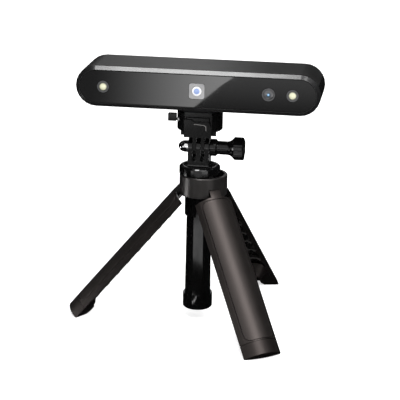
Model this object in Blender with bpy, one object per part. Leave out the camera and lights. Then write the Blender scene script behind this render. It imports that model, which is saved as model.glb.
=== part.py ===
"""Desktop 3D scanner: a camera bar on a quick-release plate, a finger joint and a grip tripod.

Lengths are in metres, +Z is up and the camera bar looks along -Y. While the pieces are
made, z = 0 is the height of the leg hinges and the post stands on x = y = 0. At the end
the whole object is moved so that the ground is z = 0 under the middle of its outline.
"""

import math

import bmesh
import bpy
from mathutils import Matrix, Vector

MM = 0.001

# Clearances shared by all pieces
GAP = 0.3 * MM
RUN = 0.25 * MM
OVERRUN = 2.0 * MM
SINK = 0.5 * MM
ROUND_STEPS = 24
WIDE_STEPS = 42
SMALL_STEPS = 18
MODULE_STEPS = 16
SCREW_STEPS = 12
EYE_STEPS = 20
FINGER_STEPS = 12
LOBE_STEPS = 30
SMOOTH_ANGLE = math.radians(35)

# Tripod: legs
LEG_COUNT = 3
LEG_YAW = math.radians(186.3)
LEG_OPEN_ANGLE = math.radians(40.0)
LEG_LENGTH = 127.3 * MM
LEG_TOP = 6.5 * MM
LEG_TOP_SLOPE_share = 0.2
LEG_ARC_POINTS = 9
LEG_SIDE_GAP = 1.0 * MM
SHELL_WALL = 2.0 * MM
FLANK_DEPTH = 3.0 * MM
FLANK_share = 0.8
FLANK_STEP_share = 0.03
RIB_DEPTH = 3.1 * MM
RIB_SINK = 0.7 * MM
RIB_WIDTH = 1.6 * MM
RIB_FIRST = 20.5 * MM
RIB_PITCH = 11.6 * MM
RIB_shares = (0.99, 0.92, 0.5)
RIB_TOOTH = 0.9 * MM
RIB_TOOTH_SPREAD = 0.9 * MM
PAD_THICKNESS = 0.9 * MM
PAD_CORNER = 5.0 * MM
PAD_TOP = 8.4 * MM
PAD_END = 0.9 * MM
PAD_WIDTH_share = 0.72
PAD_CORNER_STEPS = 3
PAD_ARC_POINTS = 7

# Tripod: feet
FOOT_HEIGHT = 11.8 * MM
FOOT_EDGE = 0.6 * MM
FOOT_BEVEL = 1.1 * MM
SOLE_RADIUS = 10.0 * MM
HEEL_RADIUS = 5.0 * MM
HEEL_BOTTOM = 9.5 * MM
HEEL_TOP = 13.8 * MM
PLUG_TOP = 19.5 * MM
SOLE_FLAT = 0.7 * MM

# Tripod: hinges
HINGE_INSET = 3.0 * MM
KNUCKLE_RADIUS = 1.95 * MM
TONGUE_WIDTH = 8.4 * MM
TONGUE_SHOULDER = 3.3 * MM
TONGUE_THICKNESS = 1.75 * MM
TONGUE_SKIN = 0.15 * MM
TONGUE_ANGLE = math.radians(20)
KNUCKLE_ANGLE = math.radians(220)
KNUCKLE_STEPS = 8
TONGUE_ARC_POINTS = 5
PIN_RADIUS = 0.8 * MM
PIN_BITE = 2.2 * MM

# Tripod: hub and collar
GRIP_RADIUS = 17.3 * MM
HUB_WALL = 2.2 * MM
HUB_ABOVE_HINGE = 8.8 * MM
HUB_BELOW_HINGE = 6.0 * MM
CUP_DEPTH = 4.8 * MM
HUB_EDGE = 0.5 * MM
COLLAR_WALL = 0.6 * MM
COLLAR_HEIGHT = 15.4 * MM

# Telescopic post: three eight-sided stages, sizes to the corners
POST_SIDES = 8
POST_OFFSET = 2.8 * MM
JOINT_SHIFT = -0.4 * MM
POST_LENGTH = 84.5 * MM
STAGE_TRAVEL = 55.0 * MM
ROD_BORE = 4.3 * MM
ROD_WALL = 1.3 * MM
TUBE_WALL = 1.2 * MM
BASE_WALL = 1.0 * MM
BASE_TAPER = 0.55 * MM
SLIDE_GAP = 0.3 * MM
BUSH_STEP = 0.55 * MM
BUSH_HEIGHT = 4.0 * MM
STAGE_STEP = 4.0 * MM
CAP_WALL = 0.45 * MM
CAP_HEIGHT = 11.3 * MM
CAP_FLOOR = 1.6 * MM
CAP_EDGE = 1.0 * MM

# Swivel disc
DISC_RADIUS = 14.8 * MM
DISC_THICKNESS = 6.1 * MM
DISC_EDGE = 1.0 * MM
SPIGOT_RADIUS = 3.1 * MM
SPIGOT_LENGTH = 6.0 * MM
SCREW_RADIUS = 1.5 * MM
SCREW_HEAD_RADIUS = 2.7 * MM
SCREW_HEAD_HEIGHT = 1.6 * MM
SCREW_REACH = 2.4 * MM
SOCKET_RADIUS = 1.0 * MM

# Finger joint
FINGER_WIDTH = 3.0 * MM
FINGER_PLAY = 0.3 * MM
FINGER_RADIUS = 7.5 * MM
FINGER_SLOT = 9.2 * MM
FINGER_HEIGHT = 11.7 * MM
FINGER_FOOT = 1.2 * MM
FINGER_FLARE = 0.25 * MM
BOLT_RADIUS = 2.2 * MM
NUT_FLATS = 7.0 * MM
NUT_SINK = 2.0 * MM
NUT_RADIUS = 4.3 * MM
NUT_LENGTH = 7.8 * MM
NUT_BARREL = 2.9 * MM
NUT_DOME_shares = (0.0, 0.25, 0.5, 0.75, 0.9)

# Thumb screw
KNOB_COLLAR_RADIUS = 6.2 * MM
KNOB_COLLAR_LENGTH = 5.2 * MM
KNOB_NECK_RADIUS = 4.9 * MM
KNOB_NECK_LENGTH = 7.2 * MM
KNOB_FLARE_LENGTH = 5.1 * MM
KNOB_RADIUS = 8.6 * MM
KNOB_HEAD_LENGTH = 7.0 * MM
KNOB_EDGE = 0.9 * MM
KNOB_LOBES = 6
KNOB_LOBE_share = 0.2
KNOB_FLARE_STEPS = 3
BOLT_IN_KNOB = 12.0 * MM

# Release foot: upper fingers, plate, tongue and T block
FOOT_RISE = 10.0 * MM
FOOT_PLATE = 3.2 * MM
FOOT_HALF_WIDTH = 12.7 * MM
FOOT_FRONT = 7.6 * MM
FOOT_BACK = 9.0 * MM
FOOT_BACK_share = 0.45
FOOT_BACK_ANGLE = math.radians(10)
TONGUE_PLATE_HALF = 9.7 * MM
TONGUE_PLATE_FRONT = 13.1 * MM
TONGUE_PLATE_DEPTH = 2.6 * MM
TONGUE_PLATE_HEIGHT = 12.4 * MM
TONGUE_PLATE_CORNER = 3.4 * MM
TONGUE_PLATE_SLANT = 1.6 * MM
TONGUE_PLATE_shares = (0.25, 0.5)
T_NECK_HALF = 6.0 * MM
T_HEAD_HALF = 8.0 * MM
T_HEAD_DROP = 4.8 * MM
T_BACK = 8.0 * MM

# Release plate and its catch
PLATE_RADIUS = 16.3 * MM
PLATE_HEIGHT = 13.7 * MM
PLATE_ROOF = 3.4 * MM
PLATE_EDGE = 0.6 * MM
CATCH_Y = -6.0 * MM
CATCH_DROP = 2.4 * MM
CATCH_NOSE_RADIUS = 1.5 * MM
CATCH_SHANK_RADIUS = 1.0 * MM
CATCH_SHOULDER_RADIUS = 2.2 * MM
CATCH_SHOULDER = 0.7 * MM
CATCH_BITE = 1.5 * MM
CATCH_BUSH = 1.1 * MM
CATCH_WALL = 1.3 * MM
CATCH_SPRING_WALL = 0.6 * MM
TAB_WIDTH = 5.8 * MM
TAB_DEPTH = 4.4 * MM
TAB_HEIGHT = 5.4 * MM
TAB_EDGE = 0.4 * MM
MOUNT_SCREW_RADIUS = 3.175 * MM
MOUNT_HEAD_RADIUS = 5.4 * MM
MOUNT_HEAD_HEIGHT = 1.7 * MM
MOUNT_SCREW_REACH = 6.0 * MM
MOUNT_SLOT = 1.0 * MM

# Camera bar housing
BAR_LENGTH = 172.7 * MM
BAR_HEIGHT = 29.1 * MM
BAR_DEPTH = 44.7 * MM
CHAMFER_DEPTH = 2.35 * MM
CHAMFER_HEIGHT = 2.6 * MM
BACK_EDGE = 1.4 * MM
BAR_WALL = 1.8 * MM
END_STEPS = 12
GLASS_POCKET = 1.6 * MM
GLASS_THICKNESS = 1.2 * MM
GLASS_RIM = 0.3 * MM
FRONT_WALL = 2.4 * MM
LEDGE = 1.0 * MM
COVER_THICKNESS = 2.2 * MM
BOSS_HEIGHT = 3.25 * MM
BOSS_TOP_LENGTH = 48.0 * MM
BOSS_LENGTH = 36.0 * MM
BOSS_TOP_DEPTH = 34.0 * MM
BOSS_DEPTH = 26.0 * MM
INSERT_RADIUS = 4.6 * MM
INSERT_LENGTH = 7.6 * MM
INSERT_POST_WALL = 2.0 * MM
SCREW_POST_RADIUS = 2.6 * MM
SCREW_POST_X = 38.0 * MM
SCREW_POST_Z = 8.4 * MM
COVER_SCREW_RADIUS = 0.9 * MM
COVER_SCREW_HEAD = 1.9 * MM
COVER_SCREW_SINK = 1.1 * MM
COVER_SCREW_LENGTH = 9.0 * MM

# Cameras and projector
CAMERA_INSET = 19.7 * MM
CAMERA_SHIFT = 0.2 * MM
COLOUR_SPACING = 16.75 * MM
PROJECTOR_X = 0.0 * MM
RING_RADIUS = 4.2 * MM
RING_WIDTH = 1.3 * MM
COLOUR_RING_RADIUS = 4.55 * MM
COLOUR_RING_WIDTH = 0.9 * MM
LENS_DOME = 0.5 * MM
LENS_DOME_shares = (0.4, 0.75)
LENS_BACK = 0.35 * MM
BARREL_WALL_CLEARANCE = 0.4 * MM
CAMERA_BODY = 10.0 * MM
CAMERA_DEPTH = 7.6 * MM
CAMERA_EDGE = 0.8 * MM
FRAME_SIZE = 11.0 * MM
FRAME_CORNER = 1.9 * MM
PROJECTOR_RING_RADIUS = 3.6 * MM
PROJECTOR_BODY = 15.0 * MM
CHASSIS_THICKNESS = 1.5 * MM
CHASSIS_INSET = 12.35 * MM
CHASSIS_HEIGHT = 18.0 * MM
BOARD_THICKNESS = 1.2 * MM
BOARD_INSET = 27.35 * MM
BOARD_HEIGHT = 21.0 * MM
USB_WIDTH = 9.0 * MM
USB_HEIGHT = 3.2 * MM
USB_WALL = 0.35 * MM
USB_LENGTH = 7.2 * MM
USB_TONGUE_WIDTH = 6.7 * MM
USB_TONGUE_HEIGHT = 0.7 * MM

# Looks: colour, roughness and metallic share
SATIN_BLACK = ((0.055, 0.055, 0.058), 0.45, 0.0)
LEG_BLACK = ((0.045, 0.040, 0.038), 0.5, 0.0)
GRIP_RUBBER = ((0.060, 0.053, 0.050), 0.65, 0.0)
GLOSS_BLACK = ((0.012, 0.012, 0.013), 0.12, 0.0)
JOINT_BLACK = ((0.020, 0.020, 0.021), 0.4, 0.0)
DARK_GLASS = ((0.015, 0.016, 0.017), 0.05, 0.0)
RING_GREY = ((0.22, 0.22, 0.23), 0.4, 0.0)
CREAM_LENS = ((0.86, 0.86, 0.78), 0.15, 0.0)
BLUE_LENS = ((0.02, 0.04, 0.16), 0.05, 0.0)
WINDOW_GREY = ((0.42, 0.42, 0.43), 0.35, 0.0)
CHROME = ((0.80, 0.80, 0.81), 0.08, 1.0)
STEEL = ((0.55, 0.55, 0.56), 0.3, 1.0)
BRASS = ((0.72, 0.52, 0.22), 0.3, 1.0)
BOARD_GREEN = ((0.03, 0.15, 0.06), 0.5, 0.0)

# Sizes and places worked out from those above
CORNERS = ((-1, -1), (1, -1), (1, 1), (-1, 1))
TONGUE_FACE = HINGE_INSET - TONGUE_SKIN
HINGE_RADIUS = GRIP_RADIUS - HINGE_INSET
CUP_RADIUS = GRIP_RADIUS - HUB_WALL
CUP_FLOOR = HUB_ABOVE_HINGE - CUP_DEPTH
POCKET_RADIUS = GRIP_RADIUS - PAD_THICKNESS
SHELL_END = LEG_LENGTH - FOOT_HEIGHT

ROD_RADIUS = ROD_BORE + ROD_WALL
ROD_BUSH = ROD_RADIUS + BUSH_STEP
MIDDLE_LIP = ROD_RADIUS + SLIDE_GAP
MIDDLE_BORE = ROD_BUSH + SLIDE_GAP
MIDDLE_RADIUS = MIDDLE_BORE + TUBE_WALL
MIDDLE_BUSH = MIDDLE_RADIUS + BUSH_STEP
BASE_LIP = MIDDLE_RADIUS + SLIDE_GAP
BASE_BORE = MIDDLE_BUSH + SLIDE_GAP
BASE_RADIUS = BASE_BORE + BASE_WALL
BASE_TOP = -HUB_BELOW_HINGE - GAP
BASE_BOTTOM = BASE_TOP - POST_LENGTH
COLLAR_RADIUS = BASE_RADIUS + BASE_TAPER * COLLAR_HEIGHT / POST_LENGTH + RUN + COLLAR_WALL
CAP_RADIUS = BASE_RADIUS + BASE_TAPER + RUN + CAP_WALL
ROD_TOP = HUB_ABOVE_HINGE
MIDDLE_TOP = ROD_TOP - GAP
MIDDLE_BOTTOM = BASE_BOTTOM + STAGE_STEP
ROD_BOTTOM = MIDDLE_BOTTOM + STAGE_STEP

DISC_BOTTOM = HUB_ABOVE_HINGE + GAP
DISC_TOP = DISC_BOTTOM + DISC_THICKNESS
FINGER_FOOT_BOTTOM = DISC_TOP + GAP
FINGER_BASE_BOTTOM = FINGER_FOOT_BOTTOM + FINGER_FOOT
TILT_Z = FINGER_BASE_BOTTOM + FINGER_HEIGHT
FINGER_SPAN = 5 * FINGER_WIDTH

# Heights of the release foot, release plate and bar count from the tilt axis
PLATE_BOTTOM = FOOT_RISE
SLIDE_TOP = PLATE_BOTTOM + FOOT_PLATE
DISK_BOTTOM = SLIDE_TOP + GAP
DISK_TOP = DISK_BOTTOM + PLATE_HEIGHT
CHANNEL_ROOF = DISK_TOP - PLATE_ROOF
T_HEAD_TOP = CHANNEL_ROOF - GAP
T_HEAD_BOTTOM = T_HEAD_TOP - T_HEAD_DROP
CATCH_Z = T_HEAD_TOP - CATCH_DROP

BOSS_BOTTOM = DISK_TOP + GAP
BAR_BOTTOM = BOSS_BOTTOM + BOSS_HEIGHT
BAR_Z = BAR_BOTTOM + BAR_HEIGHT / 2
CAMERA_SPAN = BAR_LENGTH - 2 * CAMERA_INSET
CHASSIS_LENGTH = BAR_LENGTH - 2 * CHASSIS_INSET
BOARD_LENGTH = BAR_LENGTH - 2 * BOARD_INSET
BAR_FRONT = -BAR_DEPTH / 2
BAR_BACK = BAR_DEPTH / 2
POCKET_FLOOR = BAR_FRONT + GLASS_POCKET
GLASS_BACK = POCKET_FLOOR - GAP
WALL_BACK = POCKET_FLOOR + FRONT_WALL
CAMERA_FRONT = WALL_BACK + GAP
CAMERA_BACK = CAMERA_FRONT + CAMERA_DEPTH
CHASSIS_FRONT = CAMERA_BACK + GAP
CHASSIS_BACK = CHASSIS_FRONT + CHASSIS_THICKNESS
USB_BACK = BAR_BACK - BACK_EDGE
USB_FRONT = USB_BACK - USB_LENGTH
BOARD_BACK = USB_FRONT - GAP
BOARD_FRONT = BOARD_BACK - BOARD_THICKNESS
COVER_BACK = BAR_BACK - GAP
COVER_FRONT = COVER_BACK - COVER_THICKNESS
LEDGE_BACK = COVER_FRONT - GAP


def clear_scene():
    """Start from an empty scene."""
    for item in list(bpy.data.objects):
        bpy.data.objects.remove(item, do_unlink=True)


def finish(name, colour, roughness, metallic):
    """The material of one piece."""
    material = bpy.data.materials.new(name)
    material.use_nodes = True
    shader = material.node_tree.nodes["Principled BSDF"]
    shader.inputs["Base Color"].default_value = (*colour, 1.0)
    shader.inputs["Roughness"].default_value = roughness
    shader.inputs["Metallic"].default_value = metallic
    material.diffuse_color = (*colour, 1.0)
    return material


def empty(name, parent=None, location=(0, 0, 0), rotation=(0, 0, 0)):
    """A frame that carries pieces."""
    frame = bpy.data.objects.new(name, None)
    frame.location = location
    frame.rotation_euler = rotation
    frame.parent = parent
    bpy.context.scene.collection.objects.link(frame)
    return frame


def solid(name, mesh, parent, look=None, location=(0, 0, 0), rotation=(0, 0, 0)):
    """An object with the mesh, shaded smooth up to the sharp angle, and its own material."""
    bmesh.ops.recalc_face_normals(mesh, faces=mesh.faces)
    data = bpy.data.meshes.new(name)
    mesh.to_mesh(data)
    mesh.free()
    data.shade_smooth()
    data.set_sharp_from_angle(angle=SMOOTH_ANGLE)
    piece = bpy.data.objects.new(name, data)
    piece.location = location
    piece.rotation_euler = rotation
    piece.parent = parent
    if look is not None:
        data.materials.append(finish(f"{name}_finish", *look))
    bpy.context.scene.collection.objects.link(piece)
    return piece


def combine(piece, other, operation):
    """Cut the other shape from the piece, or fuse it to the piece."""
    other.hide_render = True
    other.display_type = "WIRE"
    step = piece.modifiers.new(other.name, "BOOLEAN")
    step.operation = operation
    step.solver = "EXACT"
    step.object = other


def cut(piece, other):
    """Cut the other shape from the piece."""
    combine(piece, other, "DIFFERENCE")


def fuse(piece, other):
    """Fuse the other shape to the piece."""
    combine(piece, other, "UNION")


def loft(loops, mesh=None):
    """Skin closed loops of equal length, with flat ends."""
    mesh = mesh or bmesh.new()
    near = [mesh.verts.new(point) for point in loops[0]]
    far = join_rows(mesh, near, loops[1:])
    mesh.faces.new(near)
    mesh.faces.new(far)
    return mesh


def prism(outline, start, end, place):
    """Extrude a flat outline; place turns (u, v, depth) into a point."""
    return loft([[place(u, v, depth) for u, v in outline] for depth in (start, end)])


def along_x(u, v, depth):
    """Outline in YZ, extruded along X."""
    return (depth, u, v)


def along_y(u, v, depth):
    """Outline in XZ, extruded along Y."""
    return (u, depth, v)


def along_z(u, v, depth):
    """Outline in XY, extruded along Z."""
    return (u, v, depth)


def lathe(rings, steps, turn=None, phase=0.0, closed=False):
    """Turn rings of (radius, height) or (radius, height, form) about Z.

    A form gives the share of the radius at an angle. A radius of zero closes the end.
    """
    mesh = bmesh.new()
    angles = [phase + math.tau * step / steps for step in range(steps)]
    rows = []
    for radius, height, *form in rings:
        share = form[0] if form else (lambda angle: 1)
        row = []
        for angle in angles:
            reach = radius * share(angle)
            row.append((reach * math.cos(angle), reach * math.sin(angle), height))
        rows.append(row)
    tips = [] if closed else [index for index in (0, len(rings) - 1) if rings[index][0] == 0]
    kept = [row for index, row in enumerate(rows) if index not in tips]
    near = [mesh.verts.new(point) for point in kept[0]]
    far = join_rows(mesh, near, kept[1:])
    if closed:
        join_rings(mesh, far, near)
    for index, row in ((0, near), (len(rings) - 1, far)):
        if index in tips:
            close_end(mesh, row, rings[index][1])
    if turn is not None:
        mesh.transform(turn)
    return mesh


def join_rows(mesh, start, rows):
    """Add rows of points one after another and return the last."""
    for row in rows:
        following = [mesh.verts.new(point) for point in row]
        join_rings(mesh, start, following)
        start = following
    return start


def join_rings(mesh, near, far):
    """Faces between two rings of vertices."""
    for index in range(len(near)):
        after = (index + 1) % len(near)
        mesh.faces.new((near[index], near[after], far[after], far[index]))


def close_end(mesh, row, height):
    """Close a ring with a flat face, or with a point at another height."""
    if abs(row[0].co.z - height) < GAP / 10:
        mesh.faces.new(row)
        return
    tip = mesh.verts.new((0, 0, height))
    for index in range(len(row)):
        mesh.faces.new((row[index], row[(index + 1) % len(row)], tip))


def rod_along(axis, radius, start, end, steps=SMALL_STEPS):
    """A plain round bar along X, Y or Z from start to end."""
    return lathe([(0, start), (radius, start), (radius, end), (0, end)], steps, facing(axis))


def facing(axis):
    """The turn that lays a shape made along Z along the named axis."""
    if axis == "X":
        return Matrix.Rotation(math.pi / 2, 4, "Y")
    if axis == "Y":
        return Matrix.Rotation(-math.pi / 2, 4, "X")
    return Matrix.Identity(4)


def box(low, high):
    """A plain block between two corners."""
    outline = [(low[0], low[1]), (high[0], low[1]), (high[0], high[1]), (low[0], high[1])]
    return prism(outline, low[2], high[2], along_z)


def arc(radius, start, end, steps, middle=(0, 0)):
    """Points on an arc in the outline plane, both ends included."""
    points = []
    for step in range(steps + 1):
        angle = start + (end - start) * step / steps
        points.append((middle[0] + radius * math.cos(angle), middle[1] + radius * math.sin(angle)))
    return points


def stadium(length, height, inset=0.0, steps=END_STEPS):
    """A flat-topped oval outline, drawn in by the inset."""
    radius = height / 2 - inset
    reach = (length - height) / 2
    right = arc(radius, -math.pi / 2, math.pi / 2, steps, (reach, 0))
    left = arc(radius, math.pi / 2, 3 * math.pi / 2, steps, (-reach, 0))
    return right + left


def rounded_rectangle(width, height, corner, steps=6):
    """A rectangle outline about the origin with round corners."""
    points = []
    for index, (side, level) in enumerate(((1, -1), (1, 1), (-1, 1), (-1, -1))):
        middle = (side * (width / 2 - corner), level * (height / 2 - corner))
        start = (index - 1) * math.pi / 2
        points += arc(corner, start, start + math.pi / 2, steps, middle)
    return points


def hexagon_form(angle):
    """Share of the corner radius of a hexagon at an angle."""
    sector = math.tau / 6
    return math.cos(sector / 2) / math.cos(angle % sector - sector / 2)


def spread(count, reach):
    """Evenly spaced values from -reach to reach."""
    return [reach * (2 * index / (count - 1) - 1) for index in range(count)]


# Leg geometry: x out from the hinge, y along the hinge, s down the folded leg
def side_angle(radius):
    """Half angle of a third of the grip at a radius, less half the gap between legs."""
    return math.pi / LEG_COUNT - math.asin(LEG_SIDE_GAP / 2 / radius)


def leg_point(radius, share, drop):
    """A point of the folded leg at a radius, a share of its half angle and a drop."""
    angle = share * side_angle(radius)
    return (radius * math.cos(angle) - HINGE_RADIUS, radius * math.sin(angle), -drop)


def leg_top(radius, share):
    """Drop of the slanted top edge of the leg shell."""
    inward = GRIP_RADIUS - radius * math.cos(share * side_angle(radius))
    return LEG_TOP + LEG_TOP_SLOPE_share * inward


def opened(out, up):
    """A point of the folded leg's side view, turned to the open leg."""
    turn, rise = math.cos(LEG_OPEN_ANGLE), math.sin(LEG_OPEN_ANGLE)
    return (out * turn - up * rise, out * rise + up * turn)


def foot_profile():
    """Radius and drop of the foot's section, outer top edge first."""
    end = LEG_LENGTH
    top = SHELL_END + GAP
    edge = GRIP_RADIUS - FOOT_EDGE
    plug = GRIP_RADIUS - FLANK_DEPTH - GAP
    return [
        (GRIP_RADIUS, top),
        (GRIP_RADIUS, end - FOOT_BEVEL - FOOT_EDGE),
        (edge, end - FOOT_BEVEL),
        (SOLE_RADIUS, end),
        (HEEL_RADIUS, end - HEEL_BOTTOM),
        (HEEL_RADIUS, end - HEEL_TOP),
        (plug, end - PLUG_TOP),
        (plug, top),
    ]


def ground_drop():
    """How far the soles lie below the hinges of the open legs."""
    return -opened(SOLE_RADIUS - HINGE_RADIUS, -LEG_LENGTH)[1] - SOLE_FLAT


def make_hub(frame, post):
    """Open cup with a post bore and three hinge windows."""
    edge = HUB_EDGE
    low, high = -HUB_BELOW_HINGE, HUB_ABOVE_HINGE
    rings = [
        (0, low), (GRIP_RADIUS - edge, low), (GRIP_RADIUS, low + edge), (GRIP_RADIUS, high - edge),
        (GRIP_RADIUS - edge, high), (CUP_RADIUS, high), (CUP_RADIUS, CUP_FLOOR), (0, CUP_FLOOR),
    ]
    hub = solid("hub", lathe(rings, WIDE_STEPS), frame, LEG_BLACK)
    bore = eight_sided([(0, low - OVERRUN), (BASE_LIP, low - OVERRUN),
                        (BASE_LIP, high), (0, high)])
    cut(hub, solid("hub_bore", bore, post))
    for number in range(LEG_COUNT):
        yaw = number * math.tau / LEG_COUNT
        width = TONGUE_WIDTH / 2 + GAP
        window = prism(window_outline(), -width, width, along_y)
        cut(hub, solid(f"hub_window_{number + 1}", window, frame, rotation=(0, 0, yaw)))
        reach = width + PIN_BITE + GAP
        hole = rod_along("Y", PIN_RADIUS + RUN, -reach, reach)
        hole.transform(Matrix.Translation((HINGE_RADIUS, 0, 0)))
        cut(hub, solid(f"hub_pin_hole_{number + 1}", hole, frame, rotation=(0, 0, yaw)))
    return hub


def window_outline():
    """Side view of a hinge window: round behind the knuckle, a stop for the open leg in front."""
    room = KNUCKLE_RADIUS + GAP
    inner = opened(*tongue_corner())
    outer = opened(TONGUE_FACE, -TONGUE_SHOULDER)
    run = Vector((outer[0] - inner[0], outer[1] - inner[1]))
    normal = Vector((-run.y, run.x)).normalized() * GAP
    ramp = Vector(inner) + normal
    end = ramp + run * ((GRIP_RADIUS - HINGE_RADIUS + OVERRUN - ramp.x) / run.x)
    points = arc(room, math.pi, math.atan2(ramp.y, ramp.x), KNUCKLE_STEPS)
    points += [(end.x, end.y), (end.x, -HUB_BELOW_HINGE - OVERRUN)]
    points.append((-room, -HUB_BELOW_HINGE - OVERRUN))
    return [(out + HINGE_RADIUS, up) for out, up in points]


def tongue_corner():
    """Where the tongue's top face leaves the knuckle."""
    return (KNUCKLE_RADIUS * math.cos(TONGUE_ANGLE), KNUCKLE_RADIUS * math.sin(TONGUE_ANGLE))


def make_tongue(frame, number):
    """Knuckle and strap that join the leg shell to its pin."""
    face = GRIP_RADIUS - TONGUE_SKIN
    back = face - TONGUE_THICKNESS + TONGUE_SKIN
    end = PAD_TOP - GAP - SINK
    knuckle = arc(KNUCKLE_RADIUS, TONGUE_ANGLE, TONGUE_ANGLE + KNUCKLE_ANGLE, KNUCKLE_STEPS)
    loops = []
    for side in spread(TONGUE_ARC_POINTS, TONGUE_WIDTH / 2):
        outer = math.sqrt(face ** 2 - side ** 2) - HINGE_RADIUS
        inner = math.sqrt(back ** 2 - side ** 2) - HINGE_RADIUS
        outline = knuckle + [(inner, -end), (outer, -end), (outer, -TONGUE_SHOULDER)]
        loops.append([(out, side, up) for out, up in outline])
    return solid(f"leg_tongue_{number}", loft(loops), frame)


def make_leg(frame, number):
    """A third of the grip: ribbed shell with thick flanks, a pad pocket and a hinge tongue."""
    between = spread(LEG_ARC_POINTS, FLANK_share - FLANK_STEP_share)
    shares = sorted([-1, 1, -FLANK_share, FLANK_share] + between)
    loops = []
    for share in shares:
        depth = FLANK_DEPTH if abs(share) >= FLANK_share else SHELL_WALL
        inner = GRIP_RADIUS - depth
        loops.append([
            leg_point(inner, share, leg_top(inner, share)),
            leg_point(GRIP_RADIUS, share, leg_top(GRIP_RADIUS, share)),
            leg_point(GRIP_RADIUS, share, SHELL_END),
            leg_point(inner, share, SHELL_END),
        ])
    leg = solid(f"leg_{number}", loft(loops), frame, LEG_BLACK)
    fuse(leg, solid(f"leg_ribs_{number}", rib_mesh(), frame))
    fuse(leg, make_tongue(frame, number))
    reach = TONGUE_WIDTH / 2 + OVERRUN
    cut(leg, solid(f"leg_pin_hole_{number}", rod_along("Y", PIN_RADIUS + RUN, -reach, reach), frame))
    pocket = wrapped_plate(PAD_WIDTH_share, GAP, POCKET_RADIUS - GAP, GRIP_RADIUS + OVERRUN)
    cut(leg, solid(f"leg_pocket_{number}", pocket, frame))
    return leg


def rib_drops():
    """Drops of the cross ribs, as many as fit above the foot's plug."""
    last = LEG_LENGTH - PLUG_TOP - GAP - RIB_TOOTH_SPREAD - RIB_WIDTH
    count = int((last - RIB_FIRST) / RIB_PITCH) + 1
    return [RIB_FIRST + index * RIB_PITCH for index in range(count)]


def rib_mesh():
    """Cross ribs inside the leg shell, ending in wide teeth that pass the flanks."""
    mesh = bmesh.new()
    outer = GRIP_RADIUS - SHELL_WALL + RIB_SINK
    shares = [-share for share in RIB_shares] + [0] + list(reversed(RIB_shares))
    for top in rib_drops():
        loops = []
        for share in shares:
            tooth = 1 if abs(share) == max(RIB_shares) else 0
            inner = GRIP_RADIUS - RIB_DEPTH - tooth * RIB_TOOTH
            high = top - tooth * RIB_TOOTH_SPREAD
            low = top + RIB_WIDTH + tooth * RIB_TOOTH_SPREAD
            loops.append([
                leg_point(inner, share, high), leg_point(outer, share, high),
                leg_point(outer, share, low), leg_point(inner, share, low),
            ])
        loft(loops, mesh)
    return mesh


def wrapped_plate(width_share, grow, inner, outer):
    """A plate with round corners bent round the grip, grown by a margin on every edge."""
    half = width_share * side_angle(GRIP_RADIUS) + grow / GRIP_RADIUS
    corner = PAD_CORNER + grow
    top = PAD_TOP - grow
    bottom = SHELL_END - PAD_END + grow
    corner_angle = corner / GRIP_RADIUS
    bends = [math.pi / 2 * step / PAD_CORNER_STEPS for step in range(PAD_CORNER_STEPS + 1)]
    edge = [half - corner_angle * (1 - math.sin(bend)) for bend in bends]
    flat = spread(PAD_ARC_POINTS, half - corner_angle)[1:-1]
    angles = [-angle for angle in reversed(edge)] + flat + edge
    loops = []
    for angle in angles:
        beyond = max(0.0, abs(angle) - (half - corner_angle)) / corner_angle
        pull = corner * (1 - math.sqrt(max(0.0, 1 - beyond ** 2)))
        loop = []
        for radius, drop in ((inner, top + pull), (outer, top + pull),
                             (outer, bottom - pull), (inner, bottom - pull)):
            out = radius * math.cos(angle) - HINGE_RADIUS
            loop.append((out, radius * math.sin(angle), -drop))
        loops.append(loop)
    return loft(loops)


def make_pad(frame, number):
    """Soft grip inlay, flush in its pocket."""
    plate = wrapped_plate(PAD_WIDTH_share, 0.0, POCKET_RADIUS, GRIP_RADIUS)
    return solid(f"grip_pad_{number}", plate, frame, GRIP_RUBBER)


def make_foot(frame, number):
    """Wedge-shaped end that closes the folded grip, with flat soles where it stands."""
    profile = foot_profile()
    loops = []
    for share in spread(LEG_ARC_POINTS, 1):
        loops.append([leg_point(radius, share, drop) for radius, drop in profile])
    mesh = loft(loops)
    level = Vector((math.sin(LEG_OPEN_ANGLE), 0, math.cos(LEG_OPEN_ANGLE)))
    geometry = mesh.verts[:] + mesh.edges[:] + mesh.faces[:]
    bmesh.ops.bisect_plane(mesh, geom=geometry, dist=SOLE_FLAT / 100, plane_co=-level * ground_drop(),
                           plane_no=level, clear_inner=True)
    rim = [edge for edge in mesh.edges if edge.is_boundary]
    bmesh.ops.holes_fill(mesh, edges=rim)
    return solid(f"foot_{number}", mesh, frame, GRIP_RUBBER)


def make_pin(frame, number):
    """Hinge pin of one leg."""
    reach = TONGUE_WIDTH / 2 + GAP + PIN_BITE
    return solid(f"hinge_pin_{number}", rod_along("Y", PIN_RADIUS, -reach, reach), frame, STEEL)


def eight_sided(rings, closed=False):
    """Turn an eight-sided post section, flats facing the legs."""
    return lathe(rings, POST_SIDES, phase=math.pi / POST_SIDES, closed=closed)


def base_radius(height):
    """Corner radius of the tapered base tube at a height."""
    return BASE_RADIUS + BASE_TAPER * (BASE_TOP - height) / POST_LENGTH


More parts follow.
